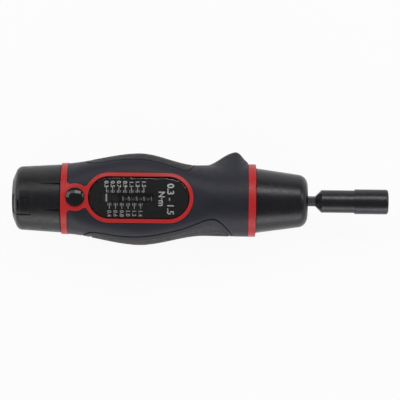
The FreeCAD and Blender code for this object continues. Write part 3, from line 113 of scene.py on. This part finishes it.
def section(station, side):
    """Half width, top, back and the two exponents of the handle's section."""
    width = half_width(station, side)
    swell = min(max((width - TAIL_WIDTH) / (WIDE - TAIL_WIDTH), 0.0), 1.0)
    rise = smooth((station - SQUARE_START) / SQUARE_RISE)
    square = rise * smooth((TAIL - station) / SQUARE_FALL)
    return width, TOP, BACK + BACK_SWELL * swell, 2 + SQUARE * square, 2 + BACK_SQUARE * square


def side_point(station, height, side, lift):
    """A point of the rubber's side in the row frame, lifted outwards across the tool."""
    width, top, back, top_power, back_power = section(station, side)
    limit, power = (top, top_power) if height >= 0 else (back, back_power)
    across = width * (1 - min(abs(height) / limit, 1.0) ** power) ** (1 / power)
    return Vector((-station, -side * (across + lift), height)) * MM


def top_height(station, across):
    """Height of the handle's top surface over a point."""
    side = 1 if across <= 0 else -1
    width, top, back, top_power, back_power = section(station, side)
    return top * (1 - min(abs(across) / width, 1.0) ** top_power) ** (1 / top_power)


# ---------------------------------------------------------------- materials

NOISE_LOW, NOISE_HIGH = 0.3, 0.7     # the range that most of a noise lies in
GRAIN_HEIGHT = 0.00005               # metres
BEVEL_SAMPLES = 4


def set_inputs(node, **values):
    """Set a node's inputs by name, an underscore standing for a space."""
    for name, value in values.items():
        node.inputs[name.replace("_", " ")].default_value = value


def new_node(tree, kind, **settings):
    """Add a node of a kind to a tree, with its settings."""
    node = tree.nodes.new(kind)
    for name, value in settings.items():
        setattr(node, name, value)
    return node


def noise(tree, scale, detail=3.0, stretch=None):
    """Noise over object coordinates, its scale in features a metre."""
    spot = new_node(tree, "ShaderNodeTexCoord")
    texture = new_node(tree, "ShaderNodeTexNoise")
    set_inputs(texture, Scale=scale, Detail=detail)
    source = spot.outputs["Object"]
    if stretch:
        mapping = new_node(tree, "ShaderNodeMapping")
        mapping.inputs["Scale"].default_value = stretch
        tree.links.new(source, mapping.inputs["Vector"])
        source = mapping.outputs["Vector"]
    tree.links.new(source, texture.inputs["Vector"])
    return texture.outputs["Fac"]


def spread(tree, source, low, high):
    """Map the range that most of a noise lies in to low..high."""
    node = new_node(tree, "ShaderNodeMapRange")
    set_inputs(node, From_Min=NOISE_LOW, From_Max=NOISE_HIGH, To_Min=low, To_Max=high)
    tree.links.new(source, node.inputs["Value"])
    return node.outputs["Result"]


def finish(name, color, rough, metal=0.0, specular=0.5, tone=0.12, cloud=60.0,
           rough_spread=0.06, rough_scale=400.0, grain=0.0, grain_scale=4000.0, edge=0.0,
           stretch=None):
    """A procedural finish: clouded colour, uneven gloss, fine grain and softened edges.

    tone and rough_spread say how far colour and roughness vary; cloud, rough_scale and
    grain_scale are features a metre; edge is the radius that edges look rounded to.
    """
    made = bpy.data.materials.new(name)
    made.use_nodes = True
    tree = made.node_tree
    shader = tree.nodes["Principled BSDF"]
    set_inputs(shader, Metallic=metal)
    shader.inputs["Specular IOR Level"].default_value = specular
    ramp = new_node(tree, "ShaderNodeValToRGB")
    ramp.color_ramp.elements[0].position = NOISE_LOW
    ramp.color_ramp.elements[1].position = NOISE_HIGH
    ramp.color_ramp.elements[0].color = [c * (1 - tone) for c in color] + [1]
    ramp.color_ramp.elements[1].color = [min(c * (1 + tone), 1) for c in color] + [1]
    tree.links.new(noise(tree, cloud, stretch=stretch), ramp.inputs["Fac"])
    tree.links.new(ramp.outputs["Color"], shader.inputs["Base Color"])
    uneven = noise(tree, rough_scale, stretch=stretch)
    gloss = spread(tree, uneven, rough - rough_spread, rough + rough_spread)
    tree.links.new(gloss, shader.inputs["Roughness"])
    normal = None
    if edge:
        bevel = new_node(tree, "ShaderNodeBevel", samples=BEVEL_SAMPLES)
        set_inputs(bevel, Radius=edge)
        normal = bevel.outputs["Normal"]
    if grain:
        bump = new_node(tree, "ShaderNodeBump")
        set_inputs(bump, Strength=grain, Distance=GRAIN_HEIGHT)
        tree.links.new(noise(tree, grain_scale, 2.0, stretch), bump.inputs["Height"])
        if normal:
            tree.links.new(normal, bump.inputs["Normal"])
        normal = bump.outputs["Normal"]
    if normal:
        tree.links.new(normal, shader.inputs["Normal"])
    return made


BORE_RADIUS = 0.0132                 # metres, 1 mm over the handle core's bore
# painted shade: near-black colour that stands in for the shade inside the handle core's bore
BORE_SHADE_BLACK = (0.004, 0.004, 0.004, 1)


def paint_bore_shade(made):
    """Blacken a finish near the tool's axis: painted shade inside the handle's bore, so its red
    walls look dark.
    """
    tree = made.node_tree
    shader = tree.nodes["Principled BSDF"]
    painted = shader.inputs["Base Color"].links[0].from_socket
    spot = new_node(tree, "ShaderNodeTexCoord")
    across = new_node(tree, "ShaderNodeVectorMath", operation="MULTIPLY")
    across.inputs[1].default_value = (0, 1, 1)
    tree.links.new(spot.outputs["Object"], across.inputs[0])
    distance = new_node(tree, "ShaderNodeVectorMath", operation="LENGTH")
    tree.links.new(across.outputs["Vector"], distance.inputs[0])
    inside = new_node(tree, "ShaderNodeMath", operation="LESS_THAN")
    inside.inputs[1].default_value = BORE_RADIUS
    tree.links.new(distance.outputs["Value"], inside.inputs[0])
    mix = new_node(tree, "ShaderNodeMix", data_type="RGBA")
    mix.inputs["B"].default_value = BORE_SHADE_BLACK
    tree.links.new(inside.outputs["Value"], mix.inputs["Factor"])
    tree.links.new(painted, mix.inputs["A"])
    tree.links.new(mix.outputs["Result"], shader.inputs["Base Color"])


LENS_IOR = 1.45


def clear_plastic():
    """Clear lens plastic: see-through with a gloss that grows at grazing angles."""
    made = bpy.data.materials.new("clear_plastic")
    made.use_nodes = True
    tree = made.node_tree
    tree.nodes.remove(tree.nodes["Principled BSDF"])
    through = new_node(tree, "ShaderNodeBsdfTransparent")
    gloss = new_node(tree, "ShaderNodeBsdfGlossy")
    tree.links.new(spread(tree, noise(tree, 90.0), 0.02, 0.05), gloss.inputs["Roughness"])
    rim = new_node(tree, "ShaderNodeFresnel")
    set_inputs(rim, IOR=LENS_IOR)
    mix = new_node(tree, "ShaderNodeMixShader")
    tree.links.new(rim.outputs["Fac"], mix.inputs["Fac"])
    tree.links.new(through.outputs["BSDF"], mix.inputs[1])
    tree.links.new(gloss.outputs["BSDF"], mix.inputs[2])
    tree.links.new(mix.outputs["Shader"], tree.nodes["Material Output"].inputs["Surface"])
    return made


RUBBER = finish("grip_rubber", (0.015, 0.0155, 0.025), 0.5, specular=0.35, tone=0.1,
                grain=0.25, grain_scale=5000.0, edge=0.0002)
PAD_RUBBER = finish("pad_rubber", (0.014, 0.014, 0.019), 0.34, tone=0.2, cloud=300.0, grain=0.15)
NOSE_PLASTIC = finish("nose_plastic", (0.008, 0.008, 0.011), 0.3, specular=0.42, tone=0.1,
                      grain=0.1, grain_scale=3000.0, edge=0.0003)
KNOB_PLASTIC = finish("knob_plastic", (0.007, 0.007, 0.009), 0.36, specular=0.42, tone=0.15,
                      grain=0.2, grain_scale=2500.0, edge=0.0003)
RED_PLASTIC = finish("red_plastic", (0.5, 0.02, 0.022), 0.38, specular=0.35, tone=0.08,
                     grain=0.08, edge=0.0005)
# painted shade: the red core turns near-black inside its bore, where it lies in shade
paint_bore_shade(RED_PLASTIC)
BUTTON_PLASTIC = finish("button_plastic", (0.006, 0.006, 0.007), 0.1, tone=0.1,
                        rough_spread=0.03, edge=0.0003)
SCALE_BLACK = finish("scale_black", (0.006, 0.006, 0.007), 0.55, specular=0.2, tone=0.15,
                     grain=0.1)
WHITE_PRINT = finish("white_print", (0.93, 0.93, 0.92), 0.5, tone=0.05, cloud=900.0)
DARK_STEEL = finish("dark_steel", (0.05, 0.05, 0.055), 0.33, metal=0.9, tone=0.15,
                    rough_scale=900.0, grain=0.1, edge=0.0003)
TURNED_STEEL = finish("turned_steel", (0.5, 0.5, 0.51), 0.28, metal=1.0, tone=0.08,
                      grain=0.25, edge=0.0002, stretch=(12.0, 1.0, 1.0))
HARD_STEEL = finish("hard_steel", (0.62, 0.62, 0.64), 0.12, metal=1.0, tone=0.05, edge=0.0001)
SPRING_STEEL = finish("spring_steel", (0.6, 0.6, 0.62), 0.14, metal=1.0, tone=0.1, grain=0.05)
BRONZE = finish("bush_bronze", (0.5, 0.3, 0.12), 0.4, metal=1.0, tone=0.15, grain=0.4,
                grain_scale=6000.0, edge=0.0002)
NICKEL = finish("magnet_nickel", (0.58, 0.57, 0.56), 0.2, metal=1.0, tone=0.05, edge=0.0002)
CLEAR = clear_plastic()

NODE_FINISHES = {
    RUBBER: ["handle_grip", "nose_seal"],
    NOSE_PLASTIC: ["nose_cap", "adjuster_nut"],
    KNOB_PLASTIC: ["knob", "knob_cap"],
    RED_PLASTIC: ["handle_core", "badge_low", "badge_high"],
    BUTTON_PLASTIC: ["lock_button"],
    SCALE_BLACK: ["scale_plate"],
    WHITE_PRINT: ["indicator_line"],
    DARK_STEEL: ["nut_setter"],
    TURNED_STEEL: ["spindle", "clutch_plate", "lead_screw", "lock_ring", "knob_screw",
                   "lock_pin"],
    HARD_STEEL: ["clutch_balls", "spring_washer", "thrust_race_front", "thrust_race_rear",
                 "thrust_balls"],
    SPRING_STEEL: ["main_spring", "button_spring", "pin_clip"],
    BRONZE: ["front_bush", "thrust_cage", "screw_washer"],
    NICKEL: ["setter_magnet", "spindle_magnet"],
    CLEAR: ["window_lens"],
}
for look, names in NODE_FINISHES.items():
    for node_name in names:
        for material_slot in NODES[node_name].material_slots:
            material_slot.material = look


# ---------------------------------------------------------------- mesh helpers


def mesh_piece(name, points, faces, look, body, soft=True):
    """A mesh object from points in the row frame, riding on a body."""
    mesh = bpy.data.meshes.new(name)
    mesh.from_pydata([tuple(p) for p in points], [], faces)
    mesh.materials.append(look)
    mesh.update()
    if soft:
        mesh.shade_smooth()
    piece = bpy.data.objects.new(name, mesh)
    bpy.context.scene.collection.objects.link(piece)
    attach(piece, body)
    return piece


def outward(piece):
    """Turn all faces of a closed mesh outwards."""
    work = bmesh.new()
    work.from_mesh(piece.data)
    bmesh.ops.recalc_face_normals(work, faces=work.faces)
    work.to_mesh(piece.data)
    work.free()
    return piece


# ---------------------------------------------------------------- textured side pads

BORDER_BAND, BORDER_GROOVE, BORDER_GAP = 2.2, 0.5, 0.1
PAD_BORDER = BORDER_BAND + BORDER_GROOVE + BORDER_GAP    # from the pad's outline to its field
FRONT_INSET, REAR_INSET = 0.6 * PAD_BORDER, 1.5 * PAD_BORDER     # the same at the tips
PADS = {                         # station of the front tip and length of its rounding
    1: (NOSE + 10.0, 10.0),
    -1: (NOSE + 27.0, 4.5),
}
PAD_TAIL, PAD_TAIL_ROUND = TAIL - 9.0, 6.0
PAD_FULL = NOSE + 20.0           # station where the front height is measured
PAD_FRONT_HEIGHT, PAD_REAR_HEIGHT = 13.8, 11.9
FIELD_DEPTH = 0.45               # depth of the recess that the field fills
VALLEY, CREST = -0.36, 0.07      # heights of the relief from the rubber's surface
FIELD_SKIN = 0.1                 # how far the field's edge dips under the recess's floor
FIELD_FADE, BADGE_FADE = 0.5, 6  # fall of the relief at the field's edge and at the badge
BADGE_HALF_LENGTH, BADGE_HALF_HEIGHT = 7.3 / 2, 5.0 / 2
COLUMN_LENGTH, PAD_ROWS = 0.2, 112
THINNEST = 0.02                  # half height that the mesh keeps at the tips

RIDGE_PITCH, RIDGE_ROW = 1.02, 2.15
RIDGE_LEAN = 1.25                # pitches that a ridge leans by across its row
ROW_WAVE, ROW_WAVE_RATE = 0.15, 0.8
DRIFT, DRIFT_SCALE, DRIFT_LAYER = 0.45, 0.45, 3.0       # how far the ridges wander
BREAK, BREAK_SCALE, BREAK_LAYER = 0.7, 0.9, 9.0         # how unevenly the ridges end
CREST_GAIN, CREST_CUT = 1.5, 0.2
END_SLOPE, END_RELIEF = 6, 0.2


def pad_half_height(station, side):
    """Half height of a pad's field at a station, 0 at its tips."""
    front, front_round = PADS[side]
    front += FRONT_INSET
    rear = PAD_TAIL - REAR_INSET
    share = (station - PAD_FULL) / (rear - PAD_TAIL_ROUND - PAD_FULL)
    straight = PAD_FRONT_HEIGHT + (PAD_REAR_HEIGHT - PAD_FRONT_HEIGHT) * share - PAD_BORDER
    if station < front + front_round:
        turn = math.acos(min(max(1 - (station - front) / front_round, 0.0), 1.0))
        return straight * math.sin(turn)
    if station > rear - PAD_TAIL_ROUND:
        past = (station - rear + PAD_TAIL_ROUND) / PAD_TAIL_ROUND
        return straight * math.cos(math.asin(min(max(past, 0.0), 1.0)))
    return straight


def ridge(station, height):
    """Relief of the pad's wavy, interlocking ridges, from 0 to 1."""
    row = height / RIDGE_ROW + ROW_WAVE * math.sin(ROW_WAVE_RATE * station)
    index = math.floor(row)
    odd = index % 2
    inside = row - index
    lean = 1 if odd else -1
    drift = lumps.noise(Vector((DRIFT_SCALE * station, DRIFT_SCALE * height, DRIFT_LAYER)))
    uneven = lumps.noise(Vector((BREAK_SCALE * station, BREAK_SCALE * height, BREAK_LAYER)))
    phase = station / RIDGE_PITCH + lean * (inside - 0.5) * RIDGE_LEAN + 0.5 * odd + DRIFT * drift
    crest = 0.5 + 0.5 * math.cos(2 * math.pi * phase)
    ends = smooth(min(inside, 1 - inside) * END_SLOPE + BREAK * uneven)
    return smooth(crest * CREST_GAIN - CREST_CUT) * (END_RELIEF + (1 - END_RELIEF) * ends)


def pad(name, side):
    """The textured skin of one side pad, sunk at its edge and round the badge."""
    front = PADS[side][0] + FRONT_INSET
    rear = PAD_TAIL - REAR_INSET
    columns = int((rear - front) / COLUMN_LENGTH)
    sunk = -FIELD_DEPTH - FIELD_SKIN
    points, faces = [], []
    for i in range(columns + 1):
        station = front + (rear - front) * i / columns
        half = max(pad_half_height(station, side), THINNEST)
        for j in range(PAD_ROWS + 1):
            share = 2 * j / PAD_ROWS - 1
            height = half * share
            border = min((1 - abs(share)) * half, station - front, rear - station)
            along, up = (station - BULGE) / BADGE_HALF_LENGTH, height / BADGE_HALF_HEIGHT
            fade = smooth(border / FIELD_FADE) * smooth((math.hypot(along, up) - 1) * BADGE_FADE)
            lift = sunk + (VALLEY - sunk + (CREST - VALLEY) * ridge(station, height)) * fade
            points.append(side_point(station, height, side, lift))
    for i in range(columns):
        for j in range(PAD_ROWS):
            a = i * (PAD_ROWS + 1) + j
            quad = (a, a + 1, a + PAD_ROWS + 2, a + PAD_ROWS + 1)
            faces.append(quad if side > 0 else quad[::-1])
    return mesh_piece(name, points, faces, PAD_RUBBER, "handle")


pad("pad_texture_low", 1)
pad("pad_texture_high", -1)

# ---------------------------------------------------------------- scale print

PRINT_HEIGHT = 0.04
SCALE_LOW, SCALE_HIGH = 0.3, 1.5     # N m
TENTH = 1.4                          # millimetres for each 0.1 N m
DIGIT_CAP, DIGIT_WEIGHT = 1.8, 0.016
LONG_MARK_WIDTH, SHORT_MARK_WIDTH = 0.26, 0.2
PRINTS = []                          # points and faces of each printed thing, in millimetres


def print_bar(station_front, station_rear, low, high):
    """A printed bar between two stations and two offsets across."""
    z = PLATE_TOP + PRINT_HEIGHT
    corners = [(-station_rear, low, z), (-station_front, low, z),
               (-station_front, high, z), (-station_rear, high, z)]
    PRINTS.append([corners, [(0, 1, 2, 3)]])


def print_words(words, station, across, cap, weight, length=None):
    """Words that read towards -Y, with their tops towards +X, centred on a spot.

    cap is their height, weight thickens the strokes and length stretches them to a length.
    """
    curve = bpy.data.curves.new("words", "FONT")
    curve.body = words
    curve.size = 1.0
    curve.resolution_u = 6
    curve.offset = weight
    holder = bpy.data.objects.new("words", curve)
    bpy.context.scene.collection.objects.link(holder)
    bpy.context.view_layer.update()
    shaped = holder.evaluated_get(bpy.context.evaluated_depsgraph_get())
    mesh = bpy.data.meshes.new_from_object(shaped)
    bpy.data.objects.remove(holder)
    xs = [v.co.x for v in mesh.vertices]
    ys = [v.co.y for v in mesh.vertices]
    tall = cap / (max(ys) - min(ys))
    wide = length / (max(xs) - min(xs)) if length else tall
    middle_x, middle_y = (max(xs) + min(xs)) / 2, (max(ys) + min(ys)) / 2
    z = PLATE_TOP + PRINT_HEIGHT
    points = [
        (-station + (v.co.y - middle_y) * tall, across - (v.co.x - middle_x) * wide, z)
        for v in mesh.vertices
    ]
    PRINTS.append([points, [tuple(face.vertices) for face in mesh.polygons]])


def scale_station(value):
    """Station of a value of the scale."""
    return LINE_STATION - (value - SCALE_LOW) * 10 * TENTH


def mark(value, inner, length, width):
    """A mark across the tool at a value, from its inner end outwards."""
    station = scale_station(value)
    low, high = sorted([inner, inner + length])
    print_bar(station - width / 2, station + width / 2, low, high)


def scale_row(first, count, inner, long_mark, short_mark, digits):
    """One row: long marks and figures 0.2 N m apart, with short marks 0.05 to each side."""
    for k in range(count):
        value = first + 0.2 * k
        mark(value, inner, long_mark, LONG_MARK_WIDTH)
        print_words(f"{value:.1f}", scale_station(value), digits, DIGIT_CAP, DIGIT_WEIGHT)
        for near in (value - 0.05, value + 0.05):
            if SCALE_LOW <= near <= SCALE_HIGH:
                mark(near, inner, short_mark, SHORT_MARK_WIDTH)


scale_row(0.3, 7, inner=2.3, long_mark=2.35, short_mark=1.1, digits=6.1)
scale_row(0.4, 6, inner=-2.35, long_mark=-2.6, short_mark=-1.2, digits=-7.1)
print_words("0.3 - 1.5", station=98.7, across=-0.37, cap=3.15, weight=0.022, length=13.9)
print_words("N·m", station=102.7, across=-0.3, cap=2.85, weight=0.028, length=6.5)


def scale_print():
    """All the print as one thin solid on the scale plate."""
    points, faces = [], []
    for part_points, part_faces in PRINTS:
        first = len(points)
        points += [Vector(p) * MM for p in part_points]
        faces += [tuple(first + index for index in face) for face in part_faces]
    piece = mesh_piece("scale_print", points, faces, WHITE_PRINT, "handle",
                       soft=False)
    thick = piece.modifiers.new("ink", "SOLIDIFY")
    thick.thickness = PRINT_HEIGHT * MM
    thick.offset = -1
    return piece


scale_print()

# ---------------------------------------------------------------- main spring

SPRING_FRONT = -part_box("main_spring")[1].x / MM
SPRING_REAR = -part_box("main_spring")[0].x / MM
SPRING_LENGTH = SPRING_REAR - SPRING_FRONT
COIL_RADIUS, WIRE_RADIUS = 7.5, 1.0
COIL_TURNS, DEAD_TURNS = 13.75, 1.0          # in all, and closed at each end
CLOSED_PITCH = 2 * WIRE_RADIUS + 0.02
SPRING_PHASE = math.radians(-55)             # where on the coil the wire starts
WIRE_SIDES, STEPS_A_TURN = 12, 48


def helix_station(turn):
    """Station of the wire's centre after some turns, with a closed coil at each end."""
    live = COIL_TURNS - 2 * DEAD_TURNS
    pitch = (SPRING_LENGTH - 2 * WIRE_RADIUS - 2 * DEAD_TURNS * CLOSED_PITCH) / live
    if turn < DEAD_TURNS:
        ahead = turn * CLOSED_PITCH
    elif turn < COIL_TURNS - DEAD_TURNS:
        ahead = DEAD_TURNS * CLOSED_PITCH + (turn - DEAD_TURNS) * pitch
    else:
        closing = turn - COIL_TURNS + DEAD_TURNS
        ahead = (DEAD_TURNS + closing) * CLOSED_PITCH + live * pitch
    return SPRING_FRONT + WIRE_RADIUS + ahead


def coil_spring(name):
    """The main spring's wire as one closed tube along its helix."""
    points, faces = [], []
    steps = int(COIL_TURNS * STEPS_A_TURN)
    for i in range(steps + 1):
        turn = COIL_TURNS * i / steps
        angle = SPRING_PHASE + 2 * math.pi * turn
        station = helix_station(turn)
        out = Vector((0, math.sin(angle), math.cos(angle)))
        for j in range(WIRE_SIDES):
            tilt = 2 * math.pi * j / WIRE_SIDES
            radius = COIL_RADIUS + WIRE_RADIUS * math.cos(tilt)
            spot = out * radius + Vector((-station + WIRE_RADIUS * math.sin(tilt), 0, 0))
            points.append(spot * MM)
    for i in range(steps):
        for j in range(WIRE_SIDES):
            a, b = i * WIRE_SIDES + j, i * WIRE_SIDES + (j + 1) % WIRE_SIDES
            faces.append((a, b, b + WIRE_SIDES, a + WIRE_SIDES))
    faces.append(tuple(range(WIRE_SIDES)))
    faces.append(tuple(reversed(range(steps * WIRE_SIDES, (steps + 1) * WIRE_SIDES))))
    return outward(mesh_piece(name, points, faces, SPRING_STEEL, "handle"))


spring = coil_spring("main_spring_coils")
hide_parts("main_spring")
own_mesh(spring)

# ---------------------------------------------------------------- window lens

LENS_RADIUS = -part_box("window_lens")[0].y / MM       # of its round ends
LENS_ROUND, LENS_ROUND_STEPS = 0.9, 6                # rounding of the top's rim
LENS_RECESS = 0.1                                    # how far the top lies below the handle's
LENS_END_STEPS = 48
LENS_TOP_RINGS = (0.85, 0.6, 0.3, 0.02)              # shares of the rim's offset across


def stadium_outline(inset):
    """Points around the lens, inset from its edge, as stations and offsets across."""
    points = []
    ends = ((LENS_REAR - LENS_RADIUS, -90), (LENS_FRONT + LENS_RADIUS, 90))
    for centre, start in ends:
        for k in range(LENS_END_STEPS + 1):
            angle = math.radians(start + 180 * k / LENS_END_STEPS)
            reach = LENS_RADIUS - inset
            points.append((centre + reach * math.cos(angle), reach * math.sin(angle)))
    return points


def window_glass():
    """The lens with a rounded rim and a top that follows the handle's surface."""
    edge = stadium_outline(0)
    count = len(edge)
    rings = [[Vector((-s, y, LENS_BASE)) for s, y in edge]]
    for k in range(LENS_ROUND_STEPS + 1):
        turn = math.pi / 2 * k / LENS_ROUND_STEPS
        outline = stadium_outline(LENS_ROUND * (1 - math.cos(turn)))
        drop = LENS_RECESS + LENS_ROUND * (1 - math.sin(turn))
        rings.append([Vector((-s, y, top_height(s, y) - drop)) for s, y in outline])
    for share in LENS_TOP_RINGS:
        inner = [(s, y * share) for s, y in outline]
        rings.append([Vector((-s, y, top_height(s, y) - LENS_RECESS)) for s, y in inner])
    points = [p * MM for ring in rings for p in ring]
    faces = []
    for r in range(len(rings) - 1):
        for k in range(count):
            a, b = r * count + k, r * count + (k + 1) % count
            faces.append((a, b, b + count, a + count))
    faces.append(tuple(reversed(range(count))))
    faces.append(tuple(range((len(rings) - 1) * count, len(rings) * count)))
    piece = outward(mesh_piece("window_glass", points, faces, CLEAR, "handle",
                               soft=False))
    for face in piece.data.polygons[count:-2]:       # all but the wall and the two closing faces
        face.use_smooth = True
    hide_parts("window_lens")
    return piece


window_glass()

# ---------------------------------------------------------------- studio

WORLD_LEVEL = 0.25                   # light that the world gives the object
SKY_LOW, SKY_HIGH, SKY_TURN = 1.0, 0.2, 0.45     # seen levels at the horizon and above a height
FLOOR_GREYS = (0.88, 0.9)
FLOOR_GLOW = 0.93                    # share of plain white in the floor as it is seen
FLOOR_REACH = 3.0
CENTRE = Vector((-85.5, 0, 0)) * MM  # middle of the tool, which camera and lights face


def light_path_mix(tree, plain, seen):
    """Join two shaders: seen for camera, glossy and transmission rays, plain for the rest."""
    path = new_node(tree, "ShaderNodeLightPath")
    total = path.outputs["Is Camera Ray"]
    for ray in ("Is Glossy Ray", "Is Transmission Ray"):
        either = new_node(tree, "ShaderNodeMath", operation="MAXIMUM")
        tree.links.new(total, either.inputs[0])
        tree.links.new(path.outputs[ray], either.inputs[1])
        total = either.outputs[0]
    mix = new_node(tree, "ShaderNodeMixShader")
    tree.links.new(total, mix.inputs["Fac"])
    tree.links.new(plain, mix.inputs[1])
    tree.links.new(seen, mix.inputs[2])
    return mix.outputs["Shader"]


def studio_world():
    """White at the horizon and greyer above where it is seen, and a plain low level elsewhere."""
    world = bpy.data.worlds.new("studio")
    bpy.context.scene.world = world
    world.use_nodes = True
    tree = world.node_tree
    out = tree.nodes["World Output"]
    plain = tree.nodes["Background"]
    set_inputs(plain, Color=(1, 1, 1, 1), Strength=WORLD_LEVEL)
    seen = new_node(tree, "ShaderNodeBackground")
    set_inputs(seen, Color=(1, 1, 1, 1))
    spot = new_node(tree, "ShaderNodeTexCoord")
    split = new_node(tree, "ShaderNodeSeparateXYZ")
    tree.links.new(spot.outputs["Generated"], split.inputs["Vector"])
    fall = new_node(tree, "ShaderNodeMapRange")
    set_inputs(fall, From_Min=0.0, From_Max=SKY_TURN, To_Min=SKY_LOW, To_Max=SKY_HIGH)
    tree.links.new(split.outputs["Z"], fall.inputs["Value"])
    tree.links.new(fall.outputs["Result"], seen.inputs["Strength"])
    joined = light_path_mix(tree, plain.outputs[0], seen.outputs[0])
    tree.links.new(joined, out.inputs["Surface"])


def studio_floor():
    """A pale floor at the tool's lowest point that keeps its shadow."""
    made = bpy.data.materials.new("studio_floor")
    made.use_nodes = True
    tree = made.node_tree
    shader = tree.nodes["Principled BSDF"]
    set_inputs(shader, Roughness=0.8)
    ramp = new_node(tree, "ShaderNodeValToRGB")
    for stop, grey in zip(ramp.color_ramp.elements, FLOOR_GREYS):
        stop.color = (grey, grey, grey, 1)
    tree.links.new(noise(tree, 8.0), ramp.inputs["Fac"])
    tree.links.new(ramp.outputs["Color"], shader.inputs["Base Color"])
    glow = new_node(tree, "ShaderNodeEmission")
    set_inputs(glow, Strength=1.0)
    half = new_node(tree, "ShaderNodeMixShader")
    set_inputs(half, Fac=FLOOR_GLOW)
    tree.links.new(shader.outputs[0], half.inputs[1])
    tree.links.new(glow.outputs[0], half.inputs[2])
    joined = light_path_mix(tree, shader.outputs[0], half.outputs[0])
    tree.links.new(joined, tree.nodes["Material Output"].inputs["Surface"])
    mesh = bpy.data.meshes.new("studio_floor")
    turns = ((-1, -1), (1, -1), (1, 1), (-1, 1))
    corners = [(x * FLOOR_REACH, y * FLOOR_REACH, FLOOR) for x, y in turns]
    mesh.from_pydata(corners, [], [(0, 1, 2, 3)])
    mesh.materials.append(made)
    floor = bpy.data.objects.new("studio_floor", mesh)
    bpy.context.scene.collection.objects.link(floor)


def soft_light(name, place, length, width, level):
    """A box light that faces the tool's axis, its length along the tool, its level as radiance."""
    lamp = bpy.data.lights.new(name, "AREA")
    lamp.shape = "RECTANGLE"
    lamp.size, lamp.size_y = length, width
    lamp.energy = level * math.pi * length * width
    back = Vector((0, place[1], place[2])).normalized()
    side = back.cross(Vector((1, 0, 0)))
    light = bpy.data.objects.new(name, lamp)
    turned = Matrix((Vector((1, 0, 0)), side, back)).transposed().to_4x4()
    light.matrix_world = Matrix.Translation(CENTRE + Vector(place)) @ turned
    bpy.context.scene.collection.objects.link(light)
    return light


def end_light(name, place, size, level):
    """A square box light beyond the tool's end that faces its middle."""
    light = soft_light(name, place, size, size, level)
    turned = Vector(place).to_track_quat("Z", "Y").to_matrix().to_4x4()
    light.matrix_world = Matrix.Translation(light.location) @ turned
    return light


def studio():
    """The world, the floor and the lights, with places in metres from the tool's middle."""
    studio_world()
    studio_floor()
    soft_light("strip_high", (0.24, 0.6, 0.8), length=0.72, width=0.34, level=4.4)
    soft_light("strip_rear", (-0.5, 0.6, 0.8), length=0.7, width=0.34, level=1.6)
    soft_light("box_low", (0, -0.985, 0.17), length=1.8, width=0.6, level=2.2)
    end_light("box_rear", (-0.75, 0.25, 0.5), size=0.5, level=2.2)
    end_light("box_front", (0.8, 0.25, 0.55), size=0.4, level=2.2)


studio()

CAMERA_DISTANCE = 1.0465             # metres
CAMERA_ELEVATION = math.radians(87.5)
CAMERA_ROLL = math.radians(0.64)
VIEW_WIDTH = 0.182                   # metres that the picture spans at the tool
SENSOR_WIDTH = 36.0


def camera():
    """The camera, almost straight above the tool."""
    data = bpy.data.cameras.new("camera")
    data.sensor_width = SENSOR_WIDTH
    data.lens = SENSOR_WIDTH * CAMERA_DISTANCE / VIEW_WIDTH
    data.clip_start, data.clip_end = 0.05, 20
    eye = bpy.data.objects.new("camera", data)
    tilt = math.pi / 2 - CAMERA_ELEVATION
    place = CENTRE + Vector((0, -math.sin(tilt), math.cos(tilt))) * CAMERA_DISTANCE
    turned = Matrix.Rotation(tilt, 4, "X") @ Matrix.Rotation(CAMERA_ROLL, 4, "Z")
    eye.matrix_world = Matrix.Translation(place) @ turned
    bpy.context.scene.collection.objects.link(eye)
    bpy.context.scene.camera = eye


camera()
bpy.context.scene.view_settings.view_transform = "Standard"

bpy.context.view_layer.update()
